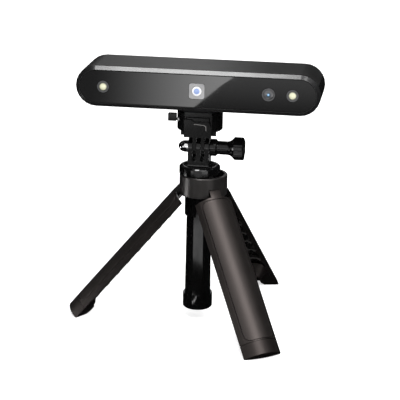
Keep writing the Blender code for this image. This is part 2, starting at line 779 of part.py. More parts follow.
def make_post(frame):
    """Base tube with its collar and end cap, in the hub's direction."""
    lip_end = MIDDLE_BOTTOM + BUSH_HEIGHT + STAGE_TRAVEL + GAP
    tube = eight_sided([
        (BASE_LIP, BASE_TOP), (base_radius(BASE_TOP), BASE_TOP),
        (base_radius(BASE_BOTTOM), BASE_BOTTOM), (BASE_BORE, BASE_BOTTOM),
        (BASE_BORE, lip_end), (BASE_LIP, lip_end),
    ], closed=True)
    solid("base_tube", tube, frame, GLOSS_BLACK)

    low = BASE_TOP - COLLAR_HEIGHT
    collar = rod_along("Z", COLLAR_RADIUS, low, BASE_TOP, ROUND_STEPS)
    collar = solid("collar", collar, frame, GLOSS_BLACK)
    cut(collar, solid("collar_bore", tube_room(low - OVERRUN, BASE_TOP + OVERRUN), frame))

    floor = BASE_BOTTOM - GAP
    bottom = floor - CAP_FLOOR
    cap = lathe([
        (0, bottom), (CAP_RADIUS - CAP_EDGE, bottom), (CAP_RADIUS, bottom + CAP_EDGE),
        (CAP_RADIUS, bottom + CAP_HEIGHT), (0, bottom + CAP_HEIGHT),
    ], ROUND_STEPS)
    cap = solid("end_cap", cap, frame, GLOSS_BLACK)
    cut(cap, solid("end_cap_bore", tube_room(floor, bottom + CAP_HEIGHT + OVERRUN), frame))


def tube_room(low, high):
    """Space for the base tube between two heights, with running clearance."""
    return eight_sided([
        (0, low), (base_radius(low) + RUN, low), (base_radius(high) + RUN, high), (0, high),
    ])


def make_middle_tube(frame):
    """Second stage, with a wider bush at its foot and a lip at its mouth."""
    lip_end = ROD_BOTTOM + BUSH_HEIGHT + STAGE_TRAVEL + GAP
    bush_top = MIDDLE_BOTTOM + BUSH_HEIGHT
    tube = eight_sided([
        (MIDDLE_LIP, MIDDLE_TOP), (MIDDLE_RADIUS, MIDDLE_TOP), (MIDDLE_RADIUS, bush_top),
        (MIDDLE_BUSH, bush_top), (MIDDLE_BUSH, MIDDLE_BOTTOM), (MIDDLE_BORE, MIDDLE_BOTTOM),
        (MIDDLE_BORE, lip_end), (MIDDLE_LIP, lip_end),
    ], closed=True)
    return solid("middle_tube", tube, frame, GLOSS_BLACK)


def make_upper_rod(frame):
    """Third stage, a hollow rod that carries the swivel disc."""
    bush_top = ROD_BOTTOM + BUSH_HEIGHT
    rod = eight_sided([
        (ROD_BORE, ROD_TOP), (ROD_RADIUS, ROD_TOP), (ROD_RADIUS, bush_top),
        (ROD_BUSH, bush_top), (ROD_BUSH, ROD_BOTTOM), (ROD_BORE, ROD_BOTTOM),
    ], closed=True)
    return solid("upper_rod", rod, frame, GLOSS_BLACK)


def make_swivel(frame):
    """Disc with a hollow spigot in the rod, and the screw up into the finger base."""
    hole = SCREW_RADIUS + RUN
    low = DISC_BOTTOM - SPIGOT_LENGTH
    disc = lathe([
        (hole, low), (SPIGOT_RADIUS, low), (SPIGOT_RADIUS, DISC_BOTTOM), (DISC_RADIUS, DISC_BOTTOM),
        (DISC_RADIUS, DISC_TOP - DISC_EDGE), (DISC_RADIUS - DISC_EDGE, DISC_TOP), (hole, DISC_TOP),
    ], WIDE_STEPS, closed=True)
    solid("swivel_disc", disc, frame, GLOSS_BLACK)
    head_top = low - GAP
    head_bottom = head_top - SCREW_HEAD_HEIGHT
    socket = head_bottom + SCREW_HEAD_HEIGHT / 2
    tip = FINGER_FOOT_BOTTOM + SCREW_REACH
    screw = lathe([
        (0, socket), (SOCKET_RADIUS, socket, hexagon_form), (SOCKET_RADIUS, head_bottom, hexagon_form),
        (SCREW_HEAD_RADIUS, head_bottom), (SCREW_HEAD_RADIUS, head_top),
        (SCREW_RADIUS, head_top), (SCREW_RADIUS, tip), (0, tip),
    ], SMALL_STEPS)
    solid("swivel_screw", screw, frame, STEEL)


def finger_outline(bottom):
    """Side view of a finger: straight sides under a round end on the tilt axis."""
    points = arc(FINGER_RADIUS, 0, math.pi, FINGER_STEPS, (0, TILT_Z))
    return points + [(-FINGER_RADIUS, bottom), (FINGER_RADIUS, bottom)]


def make_finger_base(frame):
    """Three fingers on a flared foot, with a bolt hole and a seat for the nut."""
    half = FINGER_SPAN / 2
    body = prism(finger_outline(FINGER_FOOT_BOTTOM + SINK), -half, half, along_x)
    base = solid("finger_base", body, frame, JOINT_BLACK)
    wide, narrow = half + FINGER_FLARE, half - FINGER_FLARE / 4
    foot = loft([
        [(side * wide, level * wide, FINGER_FOOT_BOTTOM) for side, level in CORNERS],
        [(side * wide, level * wide, FINGER_FOOT_BOTTOM + FINGER_FOOT / 2) for side, level in CORNERS],
        [(side * narrow, level * narrow, FINGER_BASE_BOTTOM) for side, level in CORNERS],
    ])
    fuse(base, solid("finger_base_foot", foot, frame))
    for side in (-1, 1):
        middle = side * FINGER_WIDTH
        low = (middle - FINGER_WIDTH / 2, -half - OVERRUN, TILT_Z - FINGER_SLOT)
        high = (middle + FINGER_WIDTH / 2, half + OVERRUN, TILT_Z + FINGER_RADIUS + OVERRUN)
        cut(base, solid(f"finger_slot_{side + 2}", box(low, high), frame))
    corner = NUT_FLATS / 2 / math.cos(math.pi / 6) + RUN
    seat = -half + NUT_SINK
    bore = lathe([
        (0, -half - OVERRUN), (corner, -half - OVERRUN, hexagon_form), (corner, seat, hexagon_form),
        (BOLT_RADIUS + GAP, seat), (BOLT_RADIUS + GAP, half + OVERRUN), (0, half + OVERRUN),
    ], SMALL_STEPS, facing("X"))
    cut(base, solid("finger_bolt_hole", bore, frame, location=(0, 0, TILT_Z)))
    hole = SCREW_RADIUS + RUN
    thread = rod_along("Z", hole, DISC_TOP - OVERRUN, FINGER_FOOT_BOTTOM + SCREW_REACH + GAP)
    cut(base, solid("finger_screw_hole", thread, frame, location=(-JOINT_SHIFT, 0, 0)))
    return base


def make_nut(frame):
    """Domed nut in the left finger."""
    half = FINGER_SPAN / 2
    inner = -half + NUT_SINK - GAP
    corner = NUT_FLATS / 2 / math.cos(math.pi / 6)
    bore = BOLT_RADIUS + RUN
    barrel_end = -half - NUT_BARREL
    rings = [(0, barrel_end), (bore, barrel_end), (bore, inner)]
    rings += [(corner, inner, hexagon_form), (corner, -half - GAP, hexagon_form), (NUT_RADIUS, -half - GAP)]
    dome = NUT_LENGTH - NUT_BARREL
    for share in NUT_DOME_shares:
        turn = share * math.pi / 2
        rings.append((NUT_RADIUS * math.cos(turn), barrel_end - dome * math.sin(turn)))
    rings.append((0, -half - NUT_LENGTH))
    nut = lathe(rings, SMALL_STEPS, facing("X"))
    return solid("acorn_nut", nut, frame, CHROME, location=(0, 0, TILT_Z))


def lobes(angle):
    """Share of the knob radius at an angle, drawn in between the lobes."""
    return 1 - KNOB_LOBE_share * (0.5 - 0.5 * math.cos(KNOB_LOBES * angle))


def make_thumb_screw(frame):
    """Lobed knob moulded on the bolt of the finger joint."""
    start = FINGER_SPAN / 2 + GAP
    neck = start + KNOB_COLLAR_LENGTH
    flare = neck + KNOB_NECK_LENGTH
    head = flare + KNOB_FLARE_LENGTH
    end = head + KNOB_HEAD_LENGTH
    room = BOLT_RADIUS + RUN
    depth = start + BOLT_IN_KNOB
    rings = [(0, depth + GAP), (room, depth + GAP), (room, start)]
    rings += [(KNOB_COLLAR_RADIUS, start), (KNOB_COLLAR_RADIUS, neck - KNOB_EDGE)]
    rings += [(KNOB_NECK_RADIUS, neck), (KNOB_NECK_RADIUS, flare)]
    for step in range(1, KNOB_FLARE_STEPS + 1):
        share = step / KNOB_FLARE_STEPS
        radius = KNOB_NECK_RADIUS + (KNOB_RADIUS - KNOB_NECK_RADIUS) * share ** 2
        form = (lambda angle, blend=share: 1 - blend + blend * lobes(angle))
        rings.append((radius, flare + KNOB_FLARE_LENGTH * share, form))
    rings += [(KNOB_RADIUS, end - KNOB_EDGE, lobes), (KNOB_RADIUS - KNOB_EDGE, end, lobes), (0, end)]
    solid("knob", lathe(rings, LOBE_STEPS, facing("X")), frame, JOINT_BLACK)
    inside = -FINGER_SPAN / 2 - NUT_BARREL + GAP
    solid("knob_bolt", rod_along("X", BOLT_RADIUS, inside, depth), frame, STEEL)


def make_release_foot(frame):
    """Two upper fingers under a plate with a front tongue and a T block."""
    plate = solid("release_foot", prism(foot_plate_outline(), PLATE_BOTTOM, SLIDE_TOP, along_z),
                  frame, JOINT_BLACK)
    for side in (-1, 1):
        middle = side * FINGER_WIDTH
        half = FINGER_WIDTH / 2 - FINGER_PLAY
        reach = FINGER_RADIUS - GAP
        points = arc(reach, math.pi, math.tau, FINGER_STEPS)
        points += [(reach, PLATE_BOTTOM + SINK), (-reach, PLATE_BOTTOM + SINK)]
        finger = prism(points, middle - half, middle + half, along_x)
        fuse(plate, solid(f"release_finger_{side + 2}", finger, frame))
    fuse(plate, solid("release_tongue", tongue_plate(), frame))
    slide = [(-T_NECK_HALF, SLIDE_TOP - SINK), (T_NECK_HALF, SLIDE_TOP - SINK),
             (T_NECK_HALF, T_HEAD_BOTTOM), (T_HEAD_HALF, T_HEAD_BOTTOM), (T_HEAD_HALF, T_HEAD_TOP),
             (-T_HEAD_HALF, T_HEAD_TOP), (-T_HEAD_HALF, T_HEAD_BOTTOM), (-T_NECK_HALF, T_HEAD_BOTTOM)]
    front = -TONGUE_PLATE_FRONT + TONGUE_PLATE_DEPTH - SINK
    fuse(plate, solid("release_t_block", prism(slide, front, T_BACK, along_y), frame))
    bolt = rod_along("X", BOLT_RADIUS + GAP, -FINGER_SPAN / 2, FINGER_SPAN / 2)
    cut(plate, solid("release_bolt_hole", bolt, frame))
    notch = rod_along("X", CATCH_NOSE_RADIUS + GAP, -T_HEAD_HALF - OVERRUN, -T_HEAD_HALF + CATCH_BITE + GAP)
    cut(plate, solid("release_notch", notch, frame, location=(0, CATCH_Y, CATCH_Z)))
    return plate


def foot_plate_outline():
    """Top view of the plate: square front corners, narrowing to a round back."""
    back = FOOT_BACK_share * FOOT_HALF_WIDTH
    points = [(-FOOT_HALF_WIDTH, -FOOT_FRONT), (FOOT_HALF_WIDTH, -FOOT_FRONT)]
    points += [(FOOT_HALF_WIDTH, -FOOT_FRONT + FOOT_PLATE / 2)]
    points += arc(back, FOOT_BACK_ANGLE, math.pi - FOOT_BACK_ANGLE, FINGER_STEPS // 2, (0, FOOT_BACK - back))
    points += [(-FOOT_HALF_WIDTH, -FOOT_FRONT + FOOT_PLATE / 2)]
    return points


def tongue_plate():
    """Front tongue with a slanted left shoulder and a round right shoulder."""
    half, corner = TONGUE_PLATE_HALF, TONGUE_PLATE_CORNER
    low = PLATE_BOTTOM - GAP
    high = PLATE_BOTTOM + TONGUE_PLATE_HEIGHT
    outline = [(-half, low), (half, low)]
    shoulder = high - TONGUE_PLATE_SLANT
    outline += arc(corner, 0, math.pi / 2, FINGER_STEPS // 2, (half - corner, shoulder - corner))
    slant, flat = TONGUE_PLATE_shares
    outline += [(-half * slant, shoulder), (-half * flat, high), (-half, high)]
    front = -TONGUE_PLATE_FRONT
    return prism(outline, front, front + TONGUE_PLATE_DEPTH, along_y)


def make_release_plate(frame):
    """Round plate with a T channel, a front recess for the tongue and the catch bore."""
    edge = PLATE_EDGE
    disk = lathe([
        (0, DISK_BOTTOM), (PLATE_RADIUS - edge, DISK_BOTTOM), (PLATE_RADIUS, DISK_BOTTOM + edge),
        (PLATE_RADIUS, DISK_TOP - edge), (PLATE_RADIUS - edge, DISK_TOP), (0, DISK_TOP),
    ], WIDE_STEPS)
    plate = solid("release_plate", disk, frame, JOINT_BLACK)
    recess_half = TONGUE_PLATE_HALF + GAP
    recess_back = -TONGUE_PLATE_FRONT + TONGUE_PLATE_DEPTH + GAP
    recess = box((-recess_half, -PLATE_RADIUS - OVERRUN, DISK_BOTTOM - OVERRUN),
                 (recess_half, recess_back, DISK_TOP + OVERRUN))
    cut(plate, solid("plate_recess", recess, frame))
    neck, head = T_NECK_HALF + GAP, T_HEAD_HALF + GAP
    shelf = T_HEAD_BOTTOM - GAP
    channel = [(-neck, DISK_BOTTOM - OVERRUN), (neck, DISK_BOTTOM - OVERRUN), (neck, shelf),
               (head, shelf), (head, CHANNEL_ROOF), (-head, CHANNEL_ROOF), (-head, shelf),
               (-neck, shelf)]
    cutter = prism(channel, recess_back - OVERRUN, T_BACK + GAP, along_y)
    cut(plate, solid("plate_channel", cutter, frame))
    screw = lathe([
        (0, CHANNEL_ROOF - OVERRUN), (MOUNT_HEAD_RADIUS + GAP, CHANNEL_ROOF - OVERRUN),
        (MOUNT_HEAD_RADIUS + GAP, mount_head_top() + GAP), (MOUNT_SCREW_RADIUS + GAP, mount_head_top() + GAP),
        (MOUNT_SCREW_RADIUS + GAP, DISK_TOP + OVERRUN), (0, DISK_TOP + OVERRUN),
    ], SMALL_STEPS)
    cut(plate, solid("plate_screw_hole", screw, frame))
    wall = catch_wall()
    bore = lathe([
        (0, -PLATE_RADIUS - OVERRUN), (CATCH_SHOULDER_RADIUS + GAP, -PLATE_RADIUS - OVERRUN),
        (CATCH_SHOULDER_RADIUS + GAP, wall), (CATCH_NOSE_RADIUS + GAP, wall),
        (CATCH_NOSE_RADIUS + GAP, -T_HEAD_HALF), (0, -T_HEAD_HALF),
    ], SMALL_STEPS, facing("X"))
    cut(plate, solid("plate_catch_bore", bore, frame, location=(0, CATCH_Y, CATCH_Z)))
    return plate


def mount_head_top():
    """Height of the top of the mounting screw's head."""
    return CHANNEL_ROOF + MOUNT_HEAD_HEIGHT


def catch_wall():
    """X of the step in the catch bore."""
    return -T_HEAD_HALF - GAP - CATCH_WALL


def plate_side():
    """X of the round plate's left side beside the catch."""
    return -math.sqrt(PLATE_RADIUS ** 2 - CATCH_Y ** 2)


def make_catch(frame):
    """Plunger with its tab, the bush that holds it and its spring."""
    wall = catch_wall()
    side = plate_side()
    nose = -T_HEAD_HALF + CATCH_BITE
    shoulder = wall - GAP
    shank = lathe([
        (0, nose), (CATCH_NOSE_RADIUS, nose), (CATCH_NOSE_RADIUS, shoulder),
        (CATCH_SHOULDER_RADIUS, shoulder), (CATCH_SHOULDER_RADIUS, shoulder - CATCH_SHOULDER),
        (CATCH_SHANK_RADIUS, shoulder - CATCH_SHOULDER), (CATCH_SHANK_RADIUS, tab_right() - SINK),
        (0, tab_right() - SINK),
    ], SMALL_STEPS, facing("X"))
    plunger = solid("catch_plunger", shank, frame, JOINT_BLACK, location=(0, CATCH_Y, CATCH_Z))
    right = tab_right()
    middle = TAB_HEIGHT / 2 - CATCH_SHANK_RADIUS - GAP
    outline = rounded_rectangle(TAB_DEPTH, TAB_HEIGHT, TAB_EDGE, 2)
    tab = prism([(u, v + middle) for u, v in outline], right - TAB_WIDTH, right, along_x)
    fuse(plunger, solid("catch_tab", tab, frame, location=(0, CATCH_Y, CATCH_Z)))

    outer, inner = side + GAP, side + GAP + CATCH_BUSH
    hole = CATCH_SHANK_RADIUS + RUN
    bush = lathe([(hole, outer), (CATCH_SHOULDER_RADIUS, outer), (CATCH_SHOULDER_RADIUS, inner),
                  (hole, inner)], SMALL_STEPS, facing("X"), closed=True)
    solid("catch_bush", bush, frame, STEEL, location=(0, CATCH_Y, CATCH_Z))
    start, end = inner + GAP, shoulder - CATCH_SHOULDER - GAP
    spring = lathe([(hole, start), (hole + CATCH_SPRING_WALL, start),
                    (hole + CATCH_SPRING_WALL, end), (hole, end)],
                   SMALL_STEPS, facing("X"), closed=True)
    solid("catch_spring", spring, frame, STEEL, location=(0, CATCH_Y, CATCH_Z))


def tab_right():
    """X of the tab's inner side, clear of the round plate behind it."""
    near = abs(CATCH_Y) - TAB_DEPTH / 2
    return -math.sqrt(PLATE_RADIUS ** 2 - near ** 2) - GAP


def make_mounting_screw(frame):
    """Camera screw through the release plate into the bar, with a driver slot."""
    low, top = CHANNEL_ROOF + GAP / 2, mount_head_top()
    tip = BOSS_BOTTOM + MOUNT_SCREW_REACH
    rings = [(0, low), (MOUNT_HEAD_RADIUS, low), (MOUNT_HEAD_RADIUS, top),
             (MOUNT_SCREW_RADIUS, top), (MOUNT_SCREW_RADIUS, tip), (0, tip)]
    screw = solid("mounting_screw", lathe(rings, SMALL_STEPS), frame, STEEL)
    reach = MOUNT_HEAD_RADIUS + OVERRUN
    slot = box((-reach, -MOUNT_SLOT / 2, low - OVERRUN), (reach, MOUNT_SLOT / 2, low + MOUNT_HEAD_HEIGHT / 2))
    cut(screw, solid("mounting_screw_slot", slot, frame))
    return screw


# Camera bar: its own frame is centred on the bar
def bar_loop(inset, depth, length=BAR_LENGTH, height=BAR_HEIGHT):
    """The bar's outline drawn in by an inset, at a depth."""
    return [(u, depth, v) for u, v in stadium(length, height, inset)]


def camera_places():
    """X of the left, right and colour cameras."""
    left = CAMERA_SHIFT - CAMERA_SPAN / 2
    right = left + CAMERA_SPAN
    return {"left": left, "right": right, "colour": right - COLOUR_SPACING}


def glass_inset():
    """Inset of the glass pocket from the bar's outline."""
    return CHAMFER_HEIGHT + GLASS_RIM


def make_housing(frame):
    """Sleeve with a chamfered front, a pocket for the glass and an open back."""
    pocket = glass_inset()
    cavity = BAR_WALL + LEDGE
    loops = [
        bar_loop(cavity, WALL_BACK), bar_loop(cavity, LEDGE_BACK), bar_loop(BAR_WALL, LEDGE_BACK),
        bar_loop(BAR_WALL, BAR_BACK), bar_loop(BACK_EDGE, BAR_BACK), bar_loop(0, BAR_BACK - BACK_EDGE),
        bar_loop(0, BAR_FRONT + CHAMFER_DEPTH), bar_loop(CHAMFER_HEIGHT, BAR_FRONT),
        bar_loop(pocket, BAR_FRONT), bar_loop(pocket, POCKET_FLOOR),
    ]
    housing = solid("main_housing", loft(loops), frame, SATIN_BLACK)
    fuse(housing, solid("housing_posts", post_mesh(), frame))
    fuse(housing, solid("housing_boss", boss_mesh(), frame))
    post = rod_along("Z", INSERT_RADIUS + INSERT_POST_WALL, -BAR_HEIGHT / 2 + SINK,
                     -BAR_HEIGHT / 2 - BOSS_HEIGHT + INSERT_LENGTH + OVERRUN / 2)
    fuse(housing, solid("housing_insert_post", post, frame, location=(JOINT_SHIFT, 0, 0)))
    hole = rod_along("Z", INSERT_RADIUS + RUN, -BAR_HEIGHT / 2 - BOSS_HEIGHT - OVERRUN,
                     -BAR_HEIGHT / 2 - BOSS_HEIGHT + INSERT_LENGTH + GAP)
    cut(housing, solid("housing_insert_hole", hole, frame, location=(JOINT_SHIFT, 0, 0)))
    near, far = POCKET_FLOOR - OVERRUN / 2, WALL_BACK + OVERRUN / 2
    for name, x in camera_places().items():
        opening = rod_along("Y", lens_radius(name), near, far)
        cut(housing, solid(f"housing_{name}_opening", opening, frame, location=(x, 0, 0)))
    opening = rod_along("Y", PROJECTOR_RING_RADIUS, near, far)
    cut(housing, solid("housing_projector_opening", opening, frame, location=(PROJECTOR_X, 0, 0)))
    for number, (x, z) in enumerate(screw_places(), 1):
        hole = rod_along("Y", COVER_SCREW_RADIUS + RUN, COVER_BACK - COVER_SCREW_LENGTH - GAP,
                         BAR_BACK, SCREW_STEPS)
        cut(housing, solid(f"housing_screw_hole_{number}", hole, frame, location=(x, 0, z)))
    return housing


def screw_places():
    """X and Z of the four cover screws."""
    return [(side * SCREW_POST_X, level * SCREW_POST_Z) for side, level in CORNERS]


def post_mesh():
    """Four posts from the front wall to the back cover."""
    mesh = bmesh.new()
    for x, z in screw_places():
        circle = arc(SCREW_POST_RADIUS, 0, math.tau, SCREW_STEPS)[:-1]
        loops = [[(x + u, depth, z + v) for u, v in circle] for depth in (WALL_BACK - SINK, LEDGE_BACK)]
        loft(loops, mesh)
    return mesh


def boss_mesh():
    """Oval boss under the bar with slanted sides."""
    base = -BAR_HEIGHT / 2
    loops = []
    for length, depth, height in ((BOSS_TOP_LENGTH, BOSS_TOP_DEPTH, base + SINK),
                                  (BOSS_TOP_LENGTH, BOSS_TOP_DEPTH, base),
                                  (BOSS_LENGTH, BOSS_DEPTH, base - BOSS_HEIGHT)):
        loops.append([(length / 2 * u + JOINT_SHIFT, depth / 2 * v, height)
                      for u, v in arc(1, 0, math.tau, WIDE_STEPS)[:-1]])
    return loft(loops)


def lens_radius(name):
    """Radius of the opening for a camera's lens."""
    if name == "colour":
        return COLOUR_RING_RADIUS - COLOUR_RING_WIDTH
    return RING_RADIUS - RING_WIDTH


def ring_radius(name):
    """Outer radius of a lens ring."""
    return COLOUR_RING_RADIUS if name == "colour" else RING_RADIUS


def make_glass(frame):
    """Front pane with round holes for the rings and a square one for the projector."""
    inset = glass_inset() + GLASS_RIM
    pane = loft([bar_loop(inset, BAR_FRONT + GAP / 3), bar_loop(inset, GLASS_BACK)])
    pane = solid("front_glass", pane, frame, DARK_GLASS)
    near, far = BAR_FRONT - OVERRUN, GLASS_BACK + OVERRUN
    for name, x in camera_places().items():
        hole = rod_along("Y", ring_radius(name) + GAP / 2, near, far, EYE_STEPS)
        cut(pane, solid(f"glass_{name}_hole", hole, frame, location=(x, 0, 0)))
    outline = rounded_rectangle(FRAME_SIZE + GAP, FRAME_SIZE + GAP, FRAME_CORNER)
    hole = prism(outline, near, far, along_y)
    cut(pane, solid("glass_projector_hole", hole, frame, location=(PROJECTOR_X, 0, 0)))
    return pane


def make_optics(frame):
    """Lens ring, lens and camera of each eye."""
    front, back = BAR_FRONT + GAP / 3, GLASS_BACK
    for name, x in camera_places().items():
        inner = lens_radius(name)
        ring = lathe([(inner, front), (ring_radius(name), front), (ring_radius(name), back),
                      (inner, back)], EYE_STEPS, facing("Y"), closed=True)
        solid(f"{name}_lens_ring", ring, frame, RING_GREY, location=(x, 0, 0))
        look = BLUE_LENS if name == "colour" else CREAM_LENS
        make_lens(f"{name}_lens", inner - GAP / 2, frame, look, x)


def make_lens(name, radius, frame, look, x):
    """A shallow dome of glass in its ring."""
    back = GLASS_BACK + LENS_BACK
    rim = BAR_FRONT + GAP / 3 + LENS_DOME
    rings = [(0, back), (radius, back), (radius, rim)]
    for share in LENS_DOME_shares:
        turn = share * math.pi / 2
        rings.append((radius * math.cos(turn), rim - LENS_DOME * math.sin(turn)))
    rings.append((0, rim - LENS_DOME))
    return solid(name, lathe(rings, EYE_STEPS, facing("Y")), frame, look, location=(x, 0, 0))


def make_projector_window(frame):
    """Rounded square frame and the projector's lens."""
    front, back = BAR_FRONT + GAP / 3, GLASS_BACK
    outline = rounded_rectangle(FRAME_SIZE, FRAME_SIZE, FRAME_CORNER)
    window = solid("projector_frame", prism(outline, front, back, along_y), frame, WINDOW_GREY,
                   location=(PROJECTOR_X, 0, 0))
    hole = rod_along("Y", PROJECTOR_RING_RADIUS, front - OVERRUN, back + OVERRUN, EYE_STEPS)
    cut(window, solid("projector_frame_hole", hole, frame, location=(PROJECTOR_X, 0, 0)))
    make_lens("projector_lens", PROJECTOR_RING_RADIUS - GAP / 2, frame, BLUE_LENS, PROJECTOR_X)


def make_cameras(frame):
    """Camera and projector modules behind the front wall."""
    barrel_front = GLASS_BACK + LENS_BACK + GAP
    for name, x in camera_places().items():
        barrel = lens_radius(name) - BARREL_WALL_CLEARANCE
        make_module(f"{name}_camera", CAMERA_BODY, barrel, barrel_front, x, frame)
    barrel = PROJECTOR_RING_RADIUS - BARREL_WALL_CLEARANCE
    make_module("projector", PROJECTOR_BODY, barrel, barrel_front, PROJECTOR_X, frame)


def make_module(name, size, barrel, barrel_front, x, frame):
    """A square block with a round barrel that reaches up to its lens."""
    circle = arc(barrel, -math.pi * 3 / 4, math.pi * 5 / 4, MODULE_STEPS)[:-1]
    square = rounded_rectangle(size, size, CAMERA_EDGE, MODULE_STEPS // 4 - 1)
    square = square[-1:] + square[:-1]
    loops = [
        [(u, barrel_front, v) for u, v in circle],
        [(u, CAMERA_FRONT, v) for u, v in circle],
        [(u, CAMERA_FRONT, v) for u, v in square],
        [(u, CAMERA_BACK, v) for u, v in square],
    ]
    return solid(name, loft(loops), frame, JOINT_BLACK, location=(x, 0, 0))


def make_inside(frame):
    """Chassis plate, main board, socket and thread insert."""
    chassis = loft([bar_loop(0, CHASSIS_FRONT, CHASSIS_LENGTH, CHASSIS_HEIGHT),
                    bar_loop(0, CHASSIS_BACK, CHASSIS_LENGTH, CHASSIS_HEIGHT)])
    chassis = solid("chassis_plate", chassis, frame, STEEL)
    half = (BOARD_LENGTH / 2, BOARD_HEIGHT / 2)
    board = box((-half[0], BOARD_FRONT, -half[1]), (half[0], BOARD_BACK, half[1]))
    board = solid("main_board", board, frame, BOARD_GREEN)
    for number, (x, z) in enumerate(screw_places(), 1):
        hole = rod_along("Y", SCREW_POST_RADIUS + GAP, CHASSIS_FRONT - OVERRUN, BOARD_BACK + OVERRUN,
                         SCREW_STEPS)
        hole = solid(f"post_room_{number}", hole, frame, location=(x, 0, z))
        cut(chassis, hole)
        cut(board, hole)
    make_socket(frame)
    bottom = -BAR_HEIGHT / 2 - BOSS_HEIGHT + GAP / 2
    thread = MOUNT_SCREW_RADIUS + RUN
    insert = lathe([(thread, bottom), (INSERT_RADIUS, bottom), (INSERT_RADIUS, bottom + INSERT_LENGTH),
                    (thread, bottom + INSERT_LENGTH)], SMALL_STEPS, closed=True)
    solid("thread_insert", insert, frame, BRASS, location=(JOINT_SHIFT, 0, 0))


def make_socket(frame):
    """Oval socket shell, open at the back, with its contact tongue."""
    wall = USB_WALL
    floor = USB_FRONT + wall
    loops = [bar_loop(wall, floor, USB_WIDTH, USB_HEIGHT), bar_loop(wall, USB_BACK, USB_WIDTH, USB_HEIGHT),
             bar_loop(0, USB_BACK, USB_WIDTH, USB_HEIGHT), bar_loop(0, USB_FRONT, USB_WIDTH, USB_HEIGHT)]
    socket = solid("usb_socket", loft(loops), frame, STEEL)
    half = (USB_TONGUE_WIDTH / 2, USB_TONGUE_HEIGHT / 2)
    tongue = box((-half[0], floor - wall / 2, -half[1]), (half[0], USB_BACK - BACK_EDGE, half[1]))
    fuse(socket, solid("usb_tongue", tongue, frame))
    return socket


def make_cover(frame):
    """Back cover with its socket opening and four sunk screws."""
    inset = BAR_WALL + GAP
    cover = solid("rear_cover", loft([bar_loop(inset, COVER_FRONT), bar_loop(inset, COVER_BACK)]),
                  frame, SATIN_BLACK)
    room = [(u, depth, v) for depth in (COVER_FRONT - OVERRUN, COVER_BACK + OVERRUN)
            for u, v in stadium(USB_WIDTH + 2 * GAP, USB_HEIGHT + 2 * GAP)]
    half = len(room) // 2
    cut(cover, solid("cover_socket_opening", loft([room[:half], room[half:]]), frame))
    sunk = COVER_BACK - COVER_SCREW_SINK
    for number, (x, z) in enumerate(screw_places(), 1):
        place = (x, 0, z)
        seat = lathe([
            (0, COVER_FRONT - OVERRUN), (COVER_SCREW_RADIUS + RUN, COVER_FRONT - OVERRUN),
            (COVER_SCREW_RADIUS + RUN, sunk - GAP), (COVER_SCREW_HEAD + RUN, sunk - GAP),
            (COVER_SCREW_HEAD + RUN, COVER_BACK + OVERRUN), (0, COVER_BACK + OVERRUN),
        ], SCREW_STEPS, facing("Y"))
        cut(cover, solid(f"cover_screw_seat_{number}", seat, frame, location=place))
        tip = COVER_BACK - COVER_SCREW_LENGTH
        socket = COVER_BACK - COVER_SCREW_SINK / 2
        screw = lathe([
            (0, tip), (COVER_SCREW_RADIUS, tip), (COVER_SCREW_RADIUS, sunk), (COVER_SCREW_HEAD, sunk),
            (COVER_SCREW_HEAD, COVER_BACK), (COVER_SCREW_RADIUS, COVER_BACK, hexagon_form),
            (COVER_SCREW_RADIUS, socket, hexagon_form), (0, socket),
        ], SCREW_STEPS, facing("Y"))
        solid(f"cover_screw_{number}", screw, frame, STEEL, location=place)


def settle(root):
    """Stand the object on z = 0 with the middle of its outline over the origin."""
    bpy.context.view_layer.update()
    graph = bpy.context.evaluated_depsgraph_get()
    low, high = Vector((math.inf,) * 3), Vector((-math.inf,) * 3)
    for piece in bpy.context.scene.objects:
        if piece.type != "MESH" or piece.hide_render:
            continue
        shape = piece.evaluated_get(graph)
        for vertex in shape.data.vertices:
            point = shape.matrix_world @ vertex.co
            for axis in range(3):
                low[axis] = min(low[axis], point[axis])
                high[axis] = max(high[axis], point[axis])
    root.location -= Vector(((low.x + high.x) / 2, (low.y + high.y) / 2, low.z))
    bpy.context.view_layer.update()


def build():
    """Make every piece of the object."""
    clear_scene()
    root = empty("scanner")
    tripod = empty("tripod", root, (POST_OFFSET, 0, 0), (0, 0, LEG_YAW))
    post = empty("post", root, (0, 0, 0), (0, 0, LEG_YAW))
    make_tripod(tripod, post)
    make_post(post)
    make_middle_tube(post)
    make_upper_rod(post)

    pan = empty("pan", root)
    make_swivel(pan)
    joint_frame = empty("finger_joint", pan, (JOINT_SHIFT, 0, 0))
    make_finger_base(joint_frame)
    make_nut(joint_frame)
    thumb = empty("thumb_screw", joint_frame, (0, 0, TILT_Z))
    make_thumb_screw(thumb)

    tilt = empty("tilt", joint_frame, (0, 0, TILT_Z))
    make_release_foot(tilt)
    make_release_plate(tilt)
    make_mounting_screw(tilt)
    make_catch(tilt)

    bar = empty("camera_bar", tilt, (-JOINT_SHIFT, 0, BAR_Z))
    make_housing(bar)
    make_glass(bar)
    make_optics(bar)
    make_projector_window(bar)
    make_cameras(bar)
    make_inside(bar)
    make_cover(bar)
    settle(root)


def make_tripod(tripod, post):
    """Hub with its three legs, each on a frame at its hinge."""
    make_hub(tripod, post)
    for number in range(1, LEG_COUNT + 1):
        yaw = (number - 1) * math.tau / LEG_COUNT
        place = (HINGE_RADIUS * math.cos(yaw), HINGE_RADIUS * math.sin(yaw), 0)
        hinge = empty(f"hinge_{number}", tripod, place, (0, 0, yaw))
        make_pin(hinge, number)
        swing = empty(f"swing_{number}", hinge, rotation=(0, -LEG_OPEN_ANGLE, 0))
        make_leg(swing, number)
        make_pad(swing, number)
        make_foot(swing, number)


build()
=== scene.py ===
"""Looks of the desktop 3D scanner: a camera bar on a folding grip tripod.

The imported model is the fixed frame: every piece here is placed by it, in metres, +Z up.
"""

from __future__ import annotations

